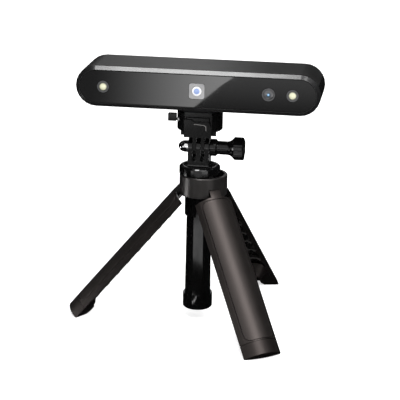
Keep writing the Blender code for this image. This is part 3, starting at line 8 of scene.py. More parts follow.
import logging
import math
from dataclasses import dataclass
from enum import Enum
from typing import Any, Callable, Sequence

import bpy
from mathutils import Matrix, Vector

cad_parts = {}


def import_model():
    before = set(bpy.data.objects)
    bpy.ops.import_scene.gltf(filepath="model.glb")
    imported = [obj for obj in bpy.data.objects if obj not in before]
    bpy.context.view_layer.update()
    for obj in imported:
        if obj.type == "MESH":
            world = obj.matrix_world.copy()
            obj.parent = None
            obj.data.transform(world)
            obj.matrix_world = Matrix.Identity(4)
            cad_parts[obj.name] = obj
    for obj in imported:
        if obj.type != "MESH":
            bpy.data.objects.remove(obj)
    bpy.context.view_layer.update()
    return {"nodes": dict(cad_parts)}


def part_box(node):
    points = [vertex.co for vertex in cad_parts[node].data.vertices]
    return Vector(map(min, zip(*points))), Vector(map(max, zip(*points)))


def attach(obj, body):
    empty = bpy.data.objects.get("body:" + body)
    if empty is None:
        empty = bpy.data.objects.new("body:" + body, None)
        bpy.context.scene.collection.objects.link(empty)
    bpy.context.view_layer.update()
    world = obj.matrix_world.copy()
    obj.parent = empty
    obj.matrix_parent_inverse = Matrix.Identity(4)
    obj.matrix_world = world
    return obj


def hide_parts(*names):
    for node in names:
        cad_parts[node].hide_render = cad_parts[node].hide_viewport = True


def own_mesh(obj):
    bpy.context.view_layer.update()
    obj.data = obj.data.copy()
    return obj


frame: dict[str, Any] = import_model()

MM = 0.001
LOG = logging.getLogger("scanner")
Piece = bpy.types.Object
Material = bpy.types.Material
Colour = tuple[float, float, float]
Point = tuple[float, float, float]
Span = tuple[float, float]
WHITE: Colour = (1.0, 1.0, 1.0)
MIDDLE = 0.5  # mean of a noise value


class ShellFace(Enum):
    """Kinds of face on the housing."""

    SATIN = "satin"
    BEVEL = "bevel"
    # Round ends, painted darker as painted shade.
    END = "end"


class LegFace(Enum):
    """Kinds of face on a leg."""

    OUTER = "outer"
    HOLLOW = "hollow"
    # Rib edges carry a light grey painted glint.
    RIB_EDGE = "rib_edge"


class Socket:
    """A shader value that takes part in Python expressions."""

    def __init__(self, tree: "Tree", link: Any) -> None:
        """Wrap an output of one of the tree's nodes."""
        self.tree = tree
        self.link = link

    def _maths(self, operation: str, first: Any, second: Any, clamp: bool = False) -> "Socket":
        """Add one Math node and return its value."""
        settings = {"operation": operation, "use_clamp": clamp}
        return self.tree.node("ShaderNodeMath", settings, {0: first, 1: second}).out(0)

    def __add__(self, other: Any) -> "Socket":
        """Sum."""
        return self._maths("ADD", self, other)

    def __radd__(self, other: Any) -> "Socket":
        """Sum with a number in front."""
        return self._maths("ADD", other, self)

    def __sub__(self, other: Any) -> "Socket":
        """Difference."""
        return self._maths("SUBTRACT", self, other)

    def __rsub__(self, other: Any) -> "Socket":
        """Difference from a number in front."""
        return self._maths("SUBTRACT", other, self)

    def __mul__(self, other: Any) -> "Socket":
        """Product."""
        return self._maths("MULTIPLY", self, other)

    def __rmul__(self, other: Any) -> "Socket":
        """Product with a number in front."""
        return self._maths("MULTIPLY", other, self)

    def __truediv__(self, other: Any) -> "Socket":
        """Quotient."""
        return self._maths("DIVIDE", self, other)

    def __pow__(self, other: Any) -> "Socket":
        """Power."""
        return self._maths("POWER", self, other)

    def clamped(self) -> "Socket":
        """The value kept between 0 and 1."""
        return self._maths("ADD", self, 0.0, True)

    def greater(self, limit: float) -> "Socket":
        """One where the value is above the limit, else zero."""
        return self._maths("GREATER_THAN", self, limit)

    def larger(self, other: Any) -> "Socket":
        """The larger of two values."""
        return self._maths("MAXIMUM", self, other)

    def ramp(self, low: float, high: float) -> "Socket":
        """A soft step from 0 at low to 1 at high.

        Args:
            low: value where the step starts.
            high: value where the step ends.

        Returns:
            The stepped value.
        """
        settings = {"interpolation_type": "SMOOTHSTEP"}
        values = {"Value": self, "From Min": low, "From Max": high, "To Min": 0.0, "To Max": 1.0}
        return self.tree.node("ShaderNodeMapRange", settings, values).out("Result")


class Node:
    """One shader node, with its outputs by name or number."""

    def __init__(self, tree: "Tree", node: bpy.types.Node) -> None:
        """Wrap a node of a tree."""
        self.tree = tree
        self.node = node

    def out(self, key: int | str) -> Socket:
        """One output as a value."""
        return Socket(self.tree, self.node.outputs[key])


class Tree:
    """Shader nodes of a material or of the world, under construction."""

    def __init__(self, owner: Any, output: str) -> None:
        """Empty the owner's nodes and give it an output.

        Args:
            owner: the material or world.
            output: type of its output node.
        """
        owner.use_nodes = True
        self.nodes = owner.node_tree.nodes
        self.links = owner.node_tree.links
        self.nodes.clear()
        self.output = self.nodes.new(output)

    def node(self, kind: str, settings: dict[str, Any] | None = None,
             values: dict[int | str, Any] | None = None) -> Node:
        """Add a node.

        Args:
            kind: the node's type.
            settings: properties that are set first.
            values: numbers, colours or links of its inputs.

        Returns:
            The new node.
        """
        made = self.nodes.new(kind)
        for key, value in (settings or {}).items():
            if key == "stops":
                self._set_stops(made, value)
            else:
                setattr(made, key, value)
        for key, value in (values or {}).items():
            self.feed(made.inputs[key], value)
        return Node(self, made)

    @staticmethod
    def _set_stops(made: Any, stops: Sequence[tuple[float, Colour]]) -> None:
        """Give a colour ramp its stops.

        Args:
            made: the colour ramp node.
            stops: place and colour of each stop.
        """
        elements = made.color_ramp.elements
        while len(elements) < len(stops):
            elements.new(MIDDLE)
        for element, (place, colour) in zip(elements, stops):
            element.position = place
            element.color = (*colour, 1.0)

    def feed(self, entry: Any, value: Any) -> None:
        """Link or set one input.

        Args:
            entry: the input.
            value: a value of the tree, a number, a vector or a colour.
        """
        if isinstance(value, Socket):
            self.links.new(value.link, entry)
        elif isinstance(value, tuple) and len(value) == 3 and entry.type == "RGBA":
            entry.default_value = (*value, 1.0)
        else:
            entry.default_value = value

    def place(self, scale: Point = (1.0, 1.0, 1.0), offset: Point = (0.0, 0.0, 0.0)) -> Socket:
        """Object coordinates, stretched and moved.

        Args:
            scale: stretch of the pattern along X, Y and Z.
            offset: movement of the pattern.

        Returns:
            The coordinates.
        """
        start = self.node("ShaderNodeTexCoord").out("Object")
        values = {"Vector": start, "Scale": scale, "Location": offset}
        return self.node("ShaderNodeMapping", None, values).out("Vector")

    def apart(self, where: Socket) -> tuple[Socket, Socket]:
        """The X and the Z of some coordinates."""
        node = self.node("ShaderNodeSeparateXYZ", None, {0: where})
        return node.out(0), node.out(2)

    def noise(self, where: Socket, scale: float, detail: float = 3, rough: float = 0.5) -> Socket:
        """Noise between 0 and 1 at a number of grains per metre."""
        values = {"Vector": where, "Scale": scale, "Detail": detail, "Roughness": rough}
        return self.node("ShaderNodeTexNoise", None, values).out("Fac")

    def mix(self, share: Any, first: Any, second: Any) -> Socket:
        """Blend two colours.

        Args:
            share: share of the second colour.
            first: the colour at share 0.
            second: the colour at share 1.

        Returns:
            The blend.
        """
        values = {"Factor": share, 6: first, 7: second}
        return self.node("ShaderNodeMix", {"data_type": "RGBA"}, values).out(2)

    def bump(self, height: Socket, distance: float) -> Socket:
        """Surface normal tilted by a height."""
        values = {"Height": height, "Distance": distance, "Strength": 1.0}
        return self.node("ShaderNodeBump", None, values).out("Normal")

    def seen(self) -> Socket:
        """Tell the rays that see the white background from those that light the object.

        Returns:
            One for camera, glossy and transmission rays, else zero.
        """
        path = self.node("ShaderNodeLightPath")
        shown = path.out("Is Camera Ray").larger(path.out("Is Glossy Ray"))
        return shown.larger(path.out("Is Transmission Ray"))

    def close(self, shader: Node) -> None:
        """Show a shader on the surface."""
        self.links.new(shader.node.outputs[0], self.output.inputs["Surface"])


class Paint(Tree):
    """A material under construction."""

    def __init__(self, name: str) -> None:
        """Start an empty material of this name."""
        self.material = bpy.data.materials.new(name)
        super().__init__(self.material, "ShaderNodeOutputMaterial")

    def surface(self, values: dict[str, Any]) -> Material:
        """Close the material with a surface shader that has these inputs."""
        self.close(self.node("ShaderNodeBsdfPrincipled", None, values))
        return self.material


class Room(Tree):
    """The world's shader under construction."""

    def __init__(self, name: str) -> None:
        """Start an empty world of this name."""
        self.world = bpy.data.worlds.new(name)
        super().__init__(self.world, "ShaderNodeOutputWorld")


@dataclass(frozen=True)
class Moulded:
    """Moulded plastic or rubber with a fine grain, slight mottling and uneven gloss."""

    name: str
    colour: Colour
    roughness: float
    mottle: float = 0.15
    gloss_spread: float = 0.08
    grain: float = 2600.0
    relief: float = 0.02 * MM
    specular: float = 0.5
    speckle: float = 0.0
    tint: Colour = WHITE
    clouds: float = 60.0
    cloud_step: Span = (0.3, 0.7)
    spot_step: Span = (0.56, 0.68)
    spot_gain: float = 2.6
    spot_lift: float = 0.02

    def make(self) -> Material:
        """Build the material.

        Returns:
            The finished material.
        """
        paint = Paint(self.name)
        where = paint.place()
        cloud = paint.noise(where, self.clouds, detail=4.0)
        fine = paint.noise(where, self.grain, detail=2.0)
        dark = tuple(part * (1 - self.mottle) for part in self.colour)
        light = tuple(part * (1 + self.mottle) for part in self.colour)
        colour = paint.mix(cloud.ramp(*self.cloud_step), dark, light)
        if self.speckle:
            pale = tuple(min(1.0, self.spot_gain * part + self.spot_lift) for part in self.colour)
            colour = paint.mix(fine.ramp(*self.spot_step) * self.speckle, colour, pale)
        rough = (self.roughness + (cloud - MIDDLE) * self.gloss_spread
                 + (fine - MIDDLE) * self.gloss_spread)
        return paint.surface({
            "Base Color": colour,
            "Roughness": rough.clamped(),
            "Specular IOR Level": self.specular,
            "Specular Tint": self.tint,
            "Normal": paint.bump(fine, self.relief),
        })


@dataclass(frozen=True)
class Polished:
    """Polished black plastic with faint waves and dust."""

    name: str
    colour: Colour
    roughness: float = 0.08
    wave: float = 0.03 * MM
    dust: float = 0.02
    specular: float = 0.5
    waves: float = 90.0
    wave_gloss: float = 0.04
    specks: float = 1800.0
    speck_step: Span = (0.6, 0.75)
    speck_gloss: float = 0.12

    def make(self) -> Material:
        """Build the material.

        Returns:
            The finished material.
        """
        paint = Paint(self.name)
        where = paint.place()
        wave = paint.noise(where, self.waves, detail=1.0)
        dust = paint.noise(where, self.specks, rough=0.7).ramp(*self.speck_step)
        pale = tuple(part + self.dust for part in self.colour)
        rough = self.roughness + dust * self.speck_gloss + (wave - MIDDLE) * self.wave_gloss
        return paint.surface({
            "Base Color": paint.mix(dust, self.colour, pale),
            "Roughness": rough.clamped(),
            "Specular IOR Level": self.specular,
            "Normal": paint.bump(wave, self.wave),
        })


@dataclass(frozen=True)
class Metal:
    """Turned or drawn metal with fine lines along one axis."""

    name: str
    colour: Colour
    roughness: float
    lines: Point = (1.0, 1.0, 1.0)
    line_scale: float = 900.0
    line_gloss: float = 0.15
    relief: float = 0.004 * MM
    clouds: float = 120.0
    cloud_step: Span = (0.25, 0.75)
    cloud_shade: float = 0.82

    def make(self) -> Material:
        """Build the material.

        Returns:
            The finished material.
        """
        paint = Paint(self.name)
        lines = paint.noise(paint.place(self.lines), self.line_scale, rough=0.6)
        cloud = paint.noise(paint.place(), self.clouds, detail=2.0)
        dark = tuple(part * self.cloud_shade for part in self.colour)
        return paint.surface({
            "Base Color": paint.mix(cloud.ramp(*self.cloud_step), dark, self.colour),
            "Metallic": 1.0,
            "Roughness": (self.roughness + (lines - MIDDLE) * self.line_gloss).clamped(),
            "Normal": paint.bump(lines, self.relief),
        })


@dataclass(frozen=True)
class Eye:
    """Lens surface with coloured rings round its middle, seen along Y, and a painted glow."""

    name: str
    centre: Point
    rings: tuple[tuple[float, Colour], ...]
    reach: float
    # Strength of the painted glow.
    glow: float
    roughness: float = 0.06
    specks: float = 2400.0
    speck_gloss: float = 0.06
    coat: float = 0.5
    coat_roughness: float = 0.03

    def make(self) -> Material:
        """Build the material.

        Returns:
            The finished material.
        """
        paint = Paint(self.name)
        where = paint.place(offset=tuple(-part for part in self.centre))
        across, up = paint.apart(where)
        distance = (across * across + up * up) ** 0.5 / self.reach
        settings = {"stops": self.rings}
        colour = paint.node("ShaderNodeValToRGB", settings, {0: distance}).out("Color")
        dust = paint.noise(where, self.specks, detail=2.0)
        return paint.surface({
            "Base Color": colour,
            "Roughness": (self.roughness + (dust - MIDDLE) * self.speck_gloss).clamped(),
            "Coat Weight": self.coat,
            "Coat Roughness": self.coat_roughness,
            # The lens colours also glow: a painted glow, though the lens is no lamp.
            "Emission Color": colour,
            "Emission Strength": self.glow,
        })


@dataclass(frozen=True)
class Board:
    """Circuit board with copper tracks under the solder mask."""

    name: str = "circuit_board_mask"
    mask: Colour = (0.02, 0.10, 0.04)
    copper: Colour = (0.04, 0.22, 0.08)
    tracks: float = 160.0
    track_width: float = 0.06
    relief: float = 0.03 * MM
    clouds: float = 300.0
    roughness: float = 0.35
    gloss_spread: float = 0.2

    def make(self) -> Material:
        """Build the material.

        Returns:
            The finished material.
        """
        paint = Paint(self.name)
        where = paint.place()
        values = {"Vector": where, "Scale": self.tracks, "Mortar Size": self.track_width}
        tracks = paint.node("ShaderNodeTexBrick", {"offset": 0.5}, values).out("Fac")
        cloud = paint.noise(where, self.clouds)
        return paint.surface({
            "Base Color": paint.mix(tracks, self.mask, self.copper),
            "Roughness": (self.roughness + cloud * self.gloss_spread).clamped(),
            "Normal": paint.bump(tracks, self.relief),
        })


class Bench:
    """Modelling steps shared by all pieces."""

    join_reach = 0.002 * MM
    flat_angle = math.radians(0.6)
    face_weight = 100

    @staticmethod
    def clear() -> None:
        """Leave edit mode and deselect everything."""
        if bpy.context.mode != "OBJECT":
            bpy.ops.object.mode_set(mode="OBJECT")
        bpy.ops.object.select_all(action="DESELECT")

    @classmethod
    def hold(cls, piece: Piece) -> None:
        """Make one piece the only selected one.

        Args:
            piece: the object to work on.
        """
        cls.clear()
        piece.select_set(True)
        bpy.context.view_layer.objects.active = piece

    @classmethod
    def copied(cls, node: str) -> Piece:
        """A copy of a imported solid, with its triangles joined to whole faces.

        Args:
            node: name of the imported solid.

        Returns:
            The copy.
        """
        piece = bpy.data.objects.new(f"{node}_finished", frame["nodes"][node].data.copy())
        piece.data.materials.clear()
        bpy.context.scene.collection.objects.link(piece)
        cls.hold(piece)
        bpy.ops.object.mode_set(mode="EDIT")
        bpy.ops.mesh.select_all(action="SELECT")
        bpy.ops.mesh.remove_doubles(threshold=cls.join_reach)
        bpy.ops.mesh.dissolve_limited(angle_limit=cls.flat_angle)
        bpy.ops.object.mode_set(mode="OBJECT")
        return piece

    @classmethod
    def rounded(cls, piece: Piece, width: float, angle: float = 35.0, steps: int = 2) -> None:
        """Round the edges that are sharper than an angle.

        Args:
            piece: the object to work on.
            width: width of the rounding.
            angle: smallest edge angle in degrees.
            steps: faces across the rounding.
        """
        cls.hold(piece)
        step = piece.modifiers.new("rounding", "BEVEL")
        step.width = width
        step.segments = steps
        step.limit_method = "ANGLE"
        step.angle_limit = math.radians(angle)
        step.use_clamp_overlap = True
        bpy.ops.object.modifier_apply(modifier=step.name)

    @classmethod
    def smooth(cls, piece: Piece, angle: float = 32.0) -> None:
        """Shade a piece smooth up to an edge angle, with its large faces kept flat.

        Args:
            piece: the object to work on.
            angle: largest smooth edge angle in degrees.
        """
        cls.hold(piece)
        bpy.ops.object.shade_smooth_by_angle(angle=math.radians(angle))
        step = piece.modifiers.new("flat_faces", "WEIGHTED_NORMAL")
        step.mode = "FACE_AREA"
        step.weight = cls.face_weight
        step.keep_sharp = True
        bpy.ops.object.modifier_apply(modifier=step.name)

    @classmethod
    def painted(cls, piece: Piece, finishes: dict[Enum, Material],
                choose: Callable[[Any], Enum]) -> None:
        """Give the faces of a piece one of several finishes.

        Args:
            piece: the object.
            finishes: the material of each kind of face.
            choose: tells the kind of a face.
        """
        cls.hold(piece)
        for number, (kind, finish) in enumerate(finishes.items()):
            piece.data.materials.append(finish)
            bpy.ops.object.mode_set(mode="EDIT")
            bpy.ops.mesh.select_mode(type="FACE")
            bpy.ops.mesh.select_all(action="DESELECT")
            bpy.ops.object.mode_set(mode="OBJECT")
            for face in piece.data.polygons:
                face.select = choose(face) is kind
            bpy.ops.object.mode_set(mode="EDIT")
            piece.active_material_index = number
            bpy.ops.object.material_slot_assign()
            bpy.ops.mesh.select_mode(type="VERT")
            bpy.ops.object.mode_set(mode="OBJECT")

    @staticmethod
    def opened(name: str) -> Piece:
        """Name the primitive just added and open it in edit mode, all selected.

        Args:
            name: name of the new piece.

        Returns:
            The new piece.
        """
        piece = bpy.context.active_object
        piece.name = name
        piece.data.name = name
        bpy.ops.object.transform_apply(location=True, rotation=False, scale=False)
        bpy.ops.object.mode_set(mode="EDIT")
        bpy.ops.mesh.select_all(action="SELECT")
        return piece

    @staticmethod
    def shut() -> None:
        """Turn all faces outwards and leave edit mode."""
        bpy.ops.mesh.select_all(action="SELECT")
        bpy.ops.mesh.normals_make_consistent(inside=False)
        bpy.ops.object.mode_set(mode="OBJECT")

    @classmethod
    def ring(cls, name: str, section: Sequence[Span], steps: int, centre: Point) -> Piece:
        """Turn a ring about an upright axis, circle by circle over its section.

        Args:
            name: name of the new piece.
            section: radius and height of each circle, from the outer foot to the inner.
            steps: points round a circle.
            centre: middle of the ring's foot.

        Returns:
            The new piece.
        """
        cls.clear()
        radius, level = section[0]
        bpy.ops.mesh.primitive_circle_add(vertices=steps, radius=radius, fill_type="NOTHING",
                                          location=(0, 0, level))
        piece = cls.opened(name)
        for following, height in section[1:]:
            move = {"value": (0, 0, height - level)}
            bpy.ops.mesh.extrude_region_move(TRANSFORM_OT_translate=move)
            share = following / radius
            bpy.ops.transform.resize(value=(share, share, 1), center_override=(0, 0, height))
            radius, level = following, height
        bpy.ops.mesh.select_all(action="DESELECT")
        bpy.ops.mesh.select_non_manifold()
        bpy.ops.mesh.bridge_edge_loops()
        cls.shut()
        piece.location = centre
        cls.hold(piece)
        bpy.ops.object.transform_apply(location=True, rotation=True, scale=True)
        return piece

    @classmethod
    def outline(cls, name: str, points: Sequence[Point], depth: Point) -> Piece:
        """Draw a flat outline point by point and extrude it.

        Args:
            name: name of the new piece.
            points: the outline's corners in order.
            depth: the extrusion.

        Returns:
            The new piece.
        """
        cls.clear()
        bpy.ops.mesh.primitive_plane_add(size=MM, location=(0, 0, 0))
        piece = cls.opened(name)
        bpy.ops.mesh.merge(type="CENTER")
        bpy.ops.transform.translate(value=points[0])
        for last, following in zip(points, points[1:]):
            move = tuple(b - a for a, b in zip(last, following))
            bpy.ops.mesh.extrude_region_move(TRANSFORM_OT_translate={"value": move})
        bpy.ops.mesh.select_all(action="SELECT")
        bpy.ops.mesh.edge_face_add()
        bpy.ops.mesh.extrude_region_move(TRANSFORM_OT_translate={"value": depth})
        cls.shut()
        return piece


@dataclass
class Part:
    """A group of pieces on one body of the frame."""

    body: str

    def add(self, piece: Piece, finish: Material, slot: str,
            stands_for: Sequence[str] = ()) -> Piece:
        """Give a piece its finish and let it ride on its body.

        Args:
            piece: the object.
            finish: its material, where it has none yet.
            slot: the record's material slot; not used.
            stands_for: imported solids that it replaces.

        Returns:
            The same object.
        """
        if not piece.data.materials:
            piece.data.materials.append(finish)
        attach(piece, self.body)
        if stands_for:
            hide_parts(*stands_for)
        LOG.info("%s on %s", piece.name, self.body)
        return piece

    def refine(self, node: str, finish: Material, slot: str, width: float,
               angle: float = 35.0, steps: int = 2) -> Piece:
        """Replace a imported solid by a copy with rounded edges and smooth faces.

        Args:
            node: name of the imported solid.
            finish: material of the copy.
            slot: the record's material slot.
            width: width of the edge rounding.
            angle: smallest edge angle that is rounded, in degrees.
            steps: faces across the rounding.

        Returns:
            The new piece.
        """
        piece = Bench.copied(node)
        Bench.rounded(piece, width, angle, steps)
        Bench.smooth(piece)
        return self.add(piece, finish, slot, (node,))

    @staticmethod
    def dress(node: str, finish: Material) -> None:
        """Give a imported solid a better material.

        Args:
            node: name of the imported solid.
            finish: the material.
        """
        data = frame["nodes"][node].data
        data.materials.clear()
        data.materials.append(finish)
        LOG.info("%s keeps its solid", node)


class Finishes:
    """All materials of the object."""

    def __init__(self) -> None:
        """Make every material once."""
        shell: Colour = (0.010, 0.010, 0.0103)
        warm_black: Colour = (0.0050, 0.0044, 0.0041)
        warm: Colour = (1.0, 0.86, 0.82)
        mild: Colour = (1.0, 0.95, 0.93)
        self.shell = Moulded("shell_satin", shell, 0.34, relief=0.005 * MM, specular=0.42).make()
        # Glossier round ends in a darker colour: the darker colour is painted shade.
        self.shell_end = Moulded("shell_end_gloss_and_painted_shade", (0.005, 0.005, 0.0052), 0.2,
                                 gloss_spread=0.04, relief=0.003 * MM, specular=0.42).make()
        self.bevel = Moulded("shell_bevel", shell, 0.22, relief=0.003 * MM).make()
        self.pane = Polished("filter_pane", (0.0035, 0.0035, 0.0036), 0.03, 0.0005 * MM,
                             0.003).make()
        self.ring = Moulded("ring_grey_matt", (0.062, 0.062, 0.064), 0.5,
                            relief=0.006 * MM).make()
        self.window = Moulded("window_grey_matt", (0.32, 0.32, 0.325), 0.45,
                              relief=0.006 * MM).make()
        self.joint = Moulded("joint_black_satin", (0.003, 0.003, 0.0031), 0.17,
                             gloss_spread=0.05, grain=3200.0, relief=0.004 * MM,
                             specular=0.32).make()
        self.gloss = Polished("gloss_black_polish", (0.0022, 0.0022, 0.0023)).make()
        self.post = Polished("post_black_polish", (0.0025, 0.0025, 0.0026), 0.1,
                             0.02 * MM).make()
        self.hub = Moulded("hub_warm_black", (0.0095, 0.0088, 0.0085), 0.34, grain=2200.0,
                           tint=mild).make()
        self.leg = Moulded("leg_warm_black", warm_black, 0.39, grain=2200.0, tint=warm).make()
        self.grip = Moulded("grip_rubber_warm", warm_black, 0.43, grain=3000.0,
                            relief=0.015 * MM, speckle=0.2, tint=warm).make()
        self.inner = Polished("leg_inside_gloss", (0.004, 0.0036, 0.0034), 0.14).make()
        # Light grey finish on the rib edges and the lip: a painted glint.
        self.painted_glint = Moulded("edge_painted_glint", (0.16, 0.155, 0.15), 0.2, grain=2200.0).make()
        self.foot = Moulded("foot_rubber_smooth", (0.0050, 0.0043, 0.0040), 0.40,
                            grain=1500.0, specular=0.34, tint=warm).make()
        self.chrome = Metal("nut_chrome_plate", (0.86, 0.86, 0.87), 0.06).make()
        self.steel = Metal("screw_steel_turned", (0.56, 0.56, 0.57), 0.3,
                           (1.0, 6.0, 1.0)).make()
        self.brass = Metal("insert_brass_turned", (0.72, 0.52, 0.22), 0.3,
                           (1.0, 1.0, 6.0)).make()
        self.sheet = Metal("chassis_sheet", (0.60, 0.60, 0.61), 0.35, (0.2, 1.0, 4.0)).make()
        self.board = Board().make()


@dataclass
class CameraBar(Part):
    """Housing, dark front pane, lenses and the back cover."""

    body: str = "head"
    shell_edge: float = 0.3 * MM
    shell_sharp: float = 38.0
    shell_smooth: float = 28.0
    bevel_depth: float = 3.5 * MM
    bevel_facing: Span = (-0.95, -0.3)
    end_facing: float = 0.84
    pane_edge: float = 0.12 * MM
    ring_edge: float = 0.1 * MM
    frame_edge: float = 0.2 * MM
    screw_edge: float = 0.08 * MM
    lens_smooth: float = 40.0
    # Strengths of the painted glow in the lenses.
    lens_painted_glow: float = 0.1
    beam_painted_glow: float = 0.15

    def face_kind(self, face: Any, back: float) -> ShellFace:
        """Tell the kind of a face of the housing.

        Args:
            face: the face.
            back: Y where the front bevel ends.

        Returns:
            Its kind.
        """
        steep, flat = self.bevel_facing
        if steep < face.normal.y < flat and face.center.y < back:
            return ShellFace.BEVEL
        return ShellFace.END if abs(face.normal.x) > self.end_facing else ShellFace.SATIN

    def build_housing(self, finishes: Finishes) -> None:
        """Make the sleeve, with a brighter front bevel and glossier round ends whose darker colour
        is painted shade.

        Args:
            finishes: the materials.
        """
        housing = Bench.copied("main_housing")
        Bench.rounded(housing, self.shell_edge, self.shell_sharp)
        Bench.smooth(housing, self.shell_smooth)
        back = min(vertex.co.y for vertex in housing.data.vertices) + self.bevel_depth
        kinds = {ShellFace.SATIN: finishes.shell, ShellFace.BEVEL: finishes.bevel,
                 ShellFace.END: finishes.shell_end}
        Bench.painted(housing, kinds, lambda face: self.face_kind(face, back))
        self.add(housing, finishes.shell, "housing", ("main_housing",))

    def build(self, finishes: Finishes) -> None:
        """Make the bar's pieces.

        Args:
            finishes: the materials.
        """
        self.build_housing(finishes)
        self.refine("front_glass", finishes.pane, "front_glass", self.pane_edge)
        self.refine("rear_cover", finishes.shell, "housing", self.shell_edge)
        for eye in ("left", "right", "colour"):
            self.refine(f"{eye}_lens_ring", finishes.ring, "lens_ring", self.ring_edge)
        self.refine("projector_frame", finishes.window, "projector_frame", self.frame_edge)
        self.build_lenses()
        for name in ("left_camera", "right_camera", "colour_camera", "projector"):
            self.dress(name, finishes.joint)
        self.dress("chassis_plate", finishes.sheet)
        self.dress("main_board", finishes.board)
        self.dress("usb_socket", finishes.sheet)
        self.dress("thread_insert", finishes.brass)
        for number in range(1, 5):
            self.refine(f"cover_screw_{number}", finishes.steel, "screw_steel", self.screw_edge)

    def build_lenses(self) -> None:
        """Make the four lenses with their own coatings and a painted glow, as rings from the
        middle outwards.
        """
        cream = ((0.0, (0.70, 0.70, 0.50)), (0.72, (0.62, 0.62, 0.44)), (0.98, (0.22, 0.22, 0.17)))
        # The pale blue-white middle of the colour lens is a painted glint.
        colour = ((0.0, (0.80, 0.92, 1.0)), (0.16, (0.10, 0.34, 0.62)),
                  (0.30, (0.03, 0.035, 0.042)), (0.55, (0.060, 0.061, 0.064)),
                  (0.95, (0.070, 0.070, 0.073)))
        beam = ((0.0, (0.22, 0.31, 0.56)), (0.56, (0.26, 0.34, 0.60)),
                (0.68, (0.86, 0.88, 0.92)), (1.0, (0.80, 0.80, 0.81)))
        looks = {
            "left_lens": ("infrared_lens", cream, self.lens_painted_glow),
            "right_lens": ("infrared_lens", cream, self.lens_painted_glow),
            "colour_lens": ("colour_lens", colour, self.lens_painted_glow),
            "projector_lens": ("projector_lens", beam, self.beam_painted_glow),
        }
        for node, (slot, rings, glow) in looks.items():
            low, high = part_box(node)
            centre = tuple((low + high) / 2)
            finish = Eye(f"{node}_coating_and_painted_glow", centre, rings, (high.x - low.x) / 2, glow).make()
            piece = Bench.copied(node)
            Bench.smooth(piece, self.lens_smooth)
            self.add(piece, finish, slot, (node,))


@dataclass
class QuickRelease(Part):
    """Release plate, foot with the upper fingers, and the catch's spring and bush."""

    body: str = "head"
    plate_edge: float = 0.25 * MM
    foot_edge: float = 0.6 * MM
    foot_steps: int = 4
    screw_edge: float = 0.1 * MM
    spring_edge: float = 0.05 * MM
    catch_travel: float = 2.0 * MM
    lip_front: float = -17.26 * MM
    lip_depth: float = 0.4 * MM
    lip_edge: float = 0.12 * MM
    lip_corners_mm: tuple[Span, ...] = ((0.8, 147.75), (8.4, 147.2), (9.7, 146.2), (9.9, 142.9),
                                        (9.35, 142.9), (9.15, 146.0), (8.2, 146.65), (0.8, 147.2))

    def build_lip(self, finish: Material) -> None:
        """Make the raised lip on the front of the foot, whose light grey finish is a painted
        highlight.

        Args:
            finish: its material.
        """
        points = [(x * MM, self.lip_front, z * MM) for x, z in self.lip_corners_mm]
        lip = Bench.outline("release_lip", points, (0, -self.lip_depth, 0))
        Bench.rounded(lip, self.lip_edge)
        Bench.smooth(lip)
        self.add(lip, finish, "joint_plastic")

    def build_spring(self, finish: Material) -> None:
        """Make the catch spring with a mesh of its own; the real spring is pressed together as the
        catch is pulled.

        Args:
            finish: its material.
        """
        spring = self.refine("catch_spring", finish, "screw_steel", self.spring_edge)
        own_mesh(spring)

    def build(self, finishes: Finishes) -> None:
        """Make the release pieces.

        Args:
            finishes: the materials.
        """
        self.refine("release_plate", finishes.joint, "joint_plastic", self.plate_edge)
        self.refine("release_foot", finishes.joint, "joint_plastic", self.foot_edge,
                    steps=self.foot_steps)
        self.refine("mounting_screw", finishes.steel, "screw_steel", self.screw_edge)
        self.dress("catch_bush", finishes.steel)
        self.build_spring(finishes.steel)
        # The lip's light grey finish is a painted highlight.
        self.build_lip(finishes.painted_glint)


@dataclass
class Catch(Part):
    """Sprung plunger with its tab."""

    body: str = "catch"
    edge: float = 0.2 * MM

    def build(self, finishes: Finishes) -> None:
        """Make the catch."""
        self.refine("catch_plunger", finishes.joint, "joint_plastic", self.edge)


@dataclass
class Turntable(Part):
    """Swivel disc with the finger joint's base and nut."""

    body: str = "turntable"
    disc_edge: float = 0.3 * MM
    disc_sharp: float = 30.0
    disc_steps: int = 3
    finger_edge: float = 0.3 * MM
    nut_edge: float = 0.15 * MM
    bead_radii: Span = (12.9 * MM, 11.7 * MM)
    bead_rise: float = 0.32 * MM
    bead_shoulder: float = 0.8
    bead_corner: float = 0.15 * MM
    bead_sink: float = 0.15 * MM
    bead_steps: int = 64
    bead_smooth: float = 60.0

    def build(self, finishes: Finishes) -> None:
        """Make the joint pieces.

        Args:
            finishes: the materials.
        """
        self.refine("swivel_disc", finishes.gloss, "gloss_plastic", self.disc_edge,
                    self.disc_sharp, self.disc_steps)
        self.build_bead(finishes)
        self.refine("finger_base", finishes.joint, "joint_plastic", self.finger_edge)
        self.refine("acorn_nut", finishes.chrome, "nut_chrome", self.nut_edge)
        self.dress("swivel_screw", finishes.steel)

    def build_bead(self, finishes: Finishes) -> None:
        """Turn the low bead on top of the disc.

        Args:
            finishes: the materials.
        """
        low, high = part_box("swivel_disc")
        centre = ((low.x + high.x) / 2, (low.y + high.y) / 2, high.z - self.bead_sink)
        outer, inner = self.bead_radii
        shoulder = self.bead_rise * self.bead_shoulder
        section = ((outer, 0.0), (outer - self.bead_corner, shoulder),
                   ((inner + outer) / 2, self.bead_rise),
                   (inner + self.bead_corner, shoulder), (inner, 0.0))
        bead = Bench.ring("disc_bead", section, self.bead_steps, centre)
        Bench.smooth(bead, self.bead_smooth)
        self.add(bead, finishes.gloss, "gloss_plastic")


@dataclass
class ThumbScrew(Part):
    """Lobed knob on its bolt."""

    body: str = "thumb_screw"
    knob_edge: float = 0.35 * MM
    knob_sharp: float = 28.0

    def build(self, finishes: Finishes) -> None:
        """Make the knob and its bolt."""
        self.refine("knob", finishes.joint, "joint_plastic", self.knob_edge, self.knob_sharp)
        self.dress("knob_bolt", finishes.steel)


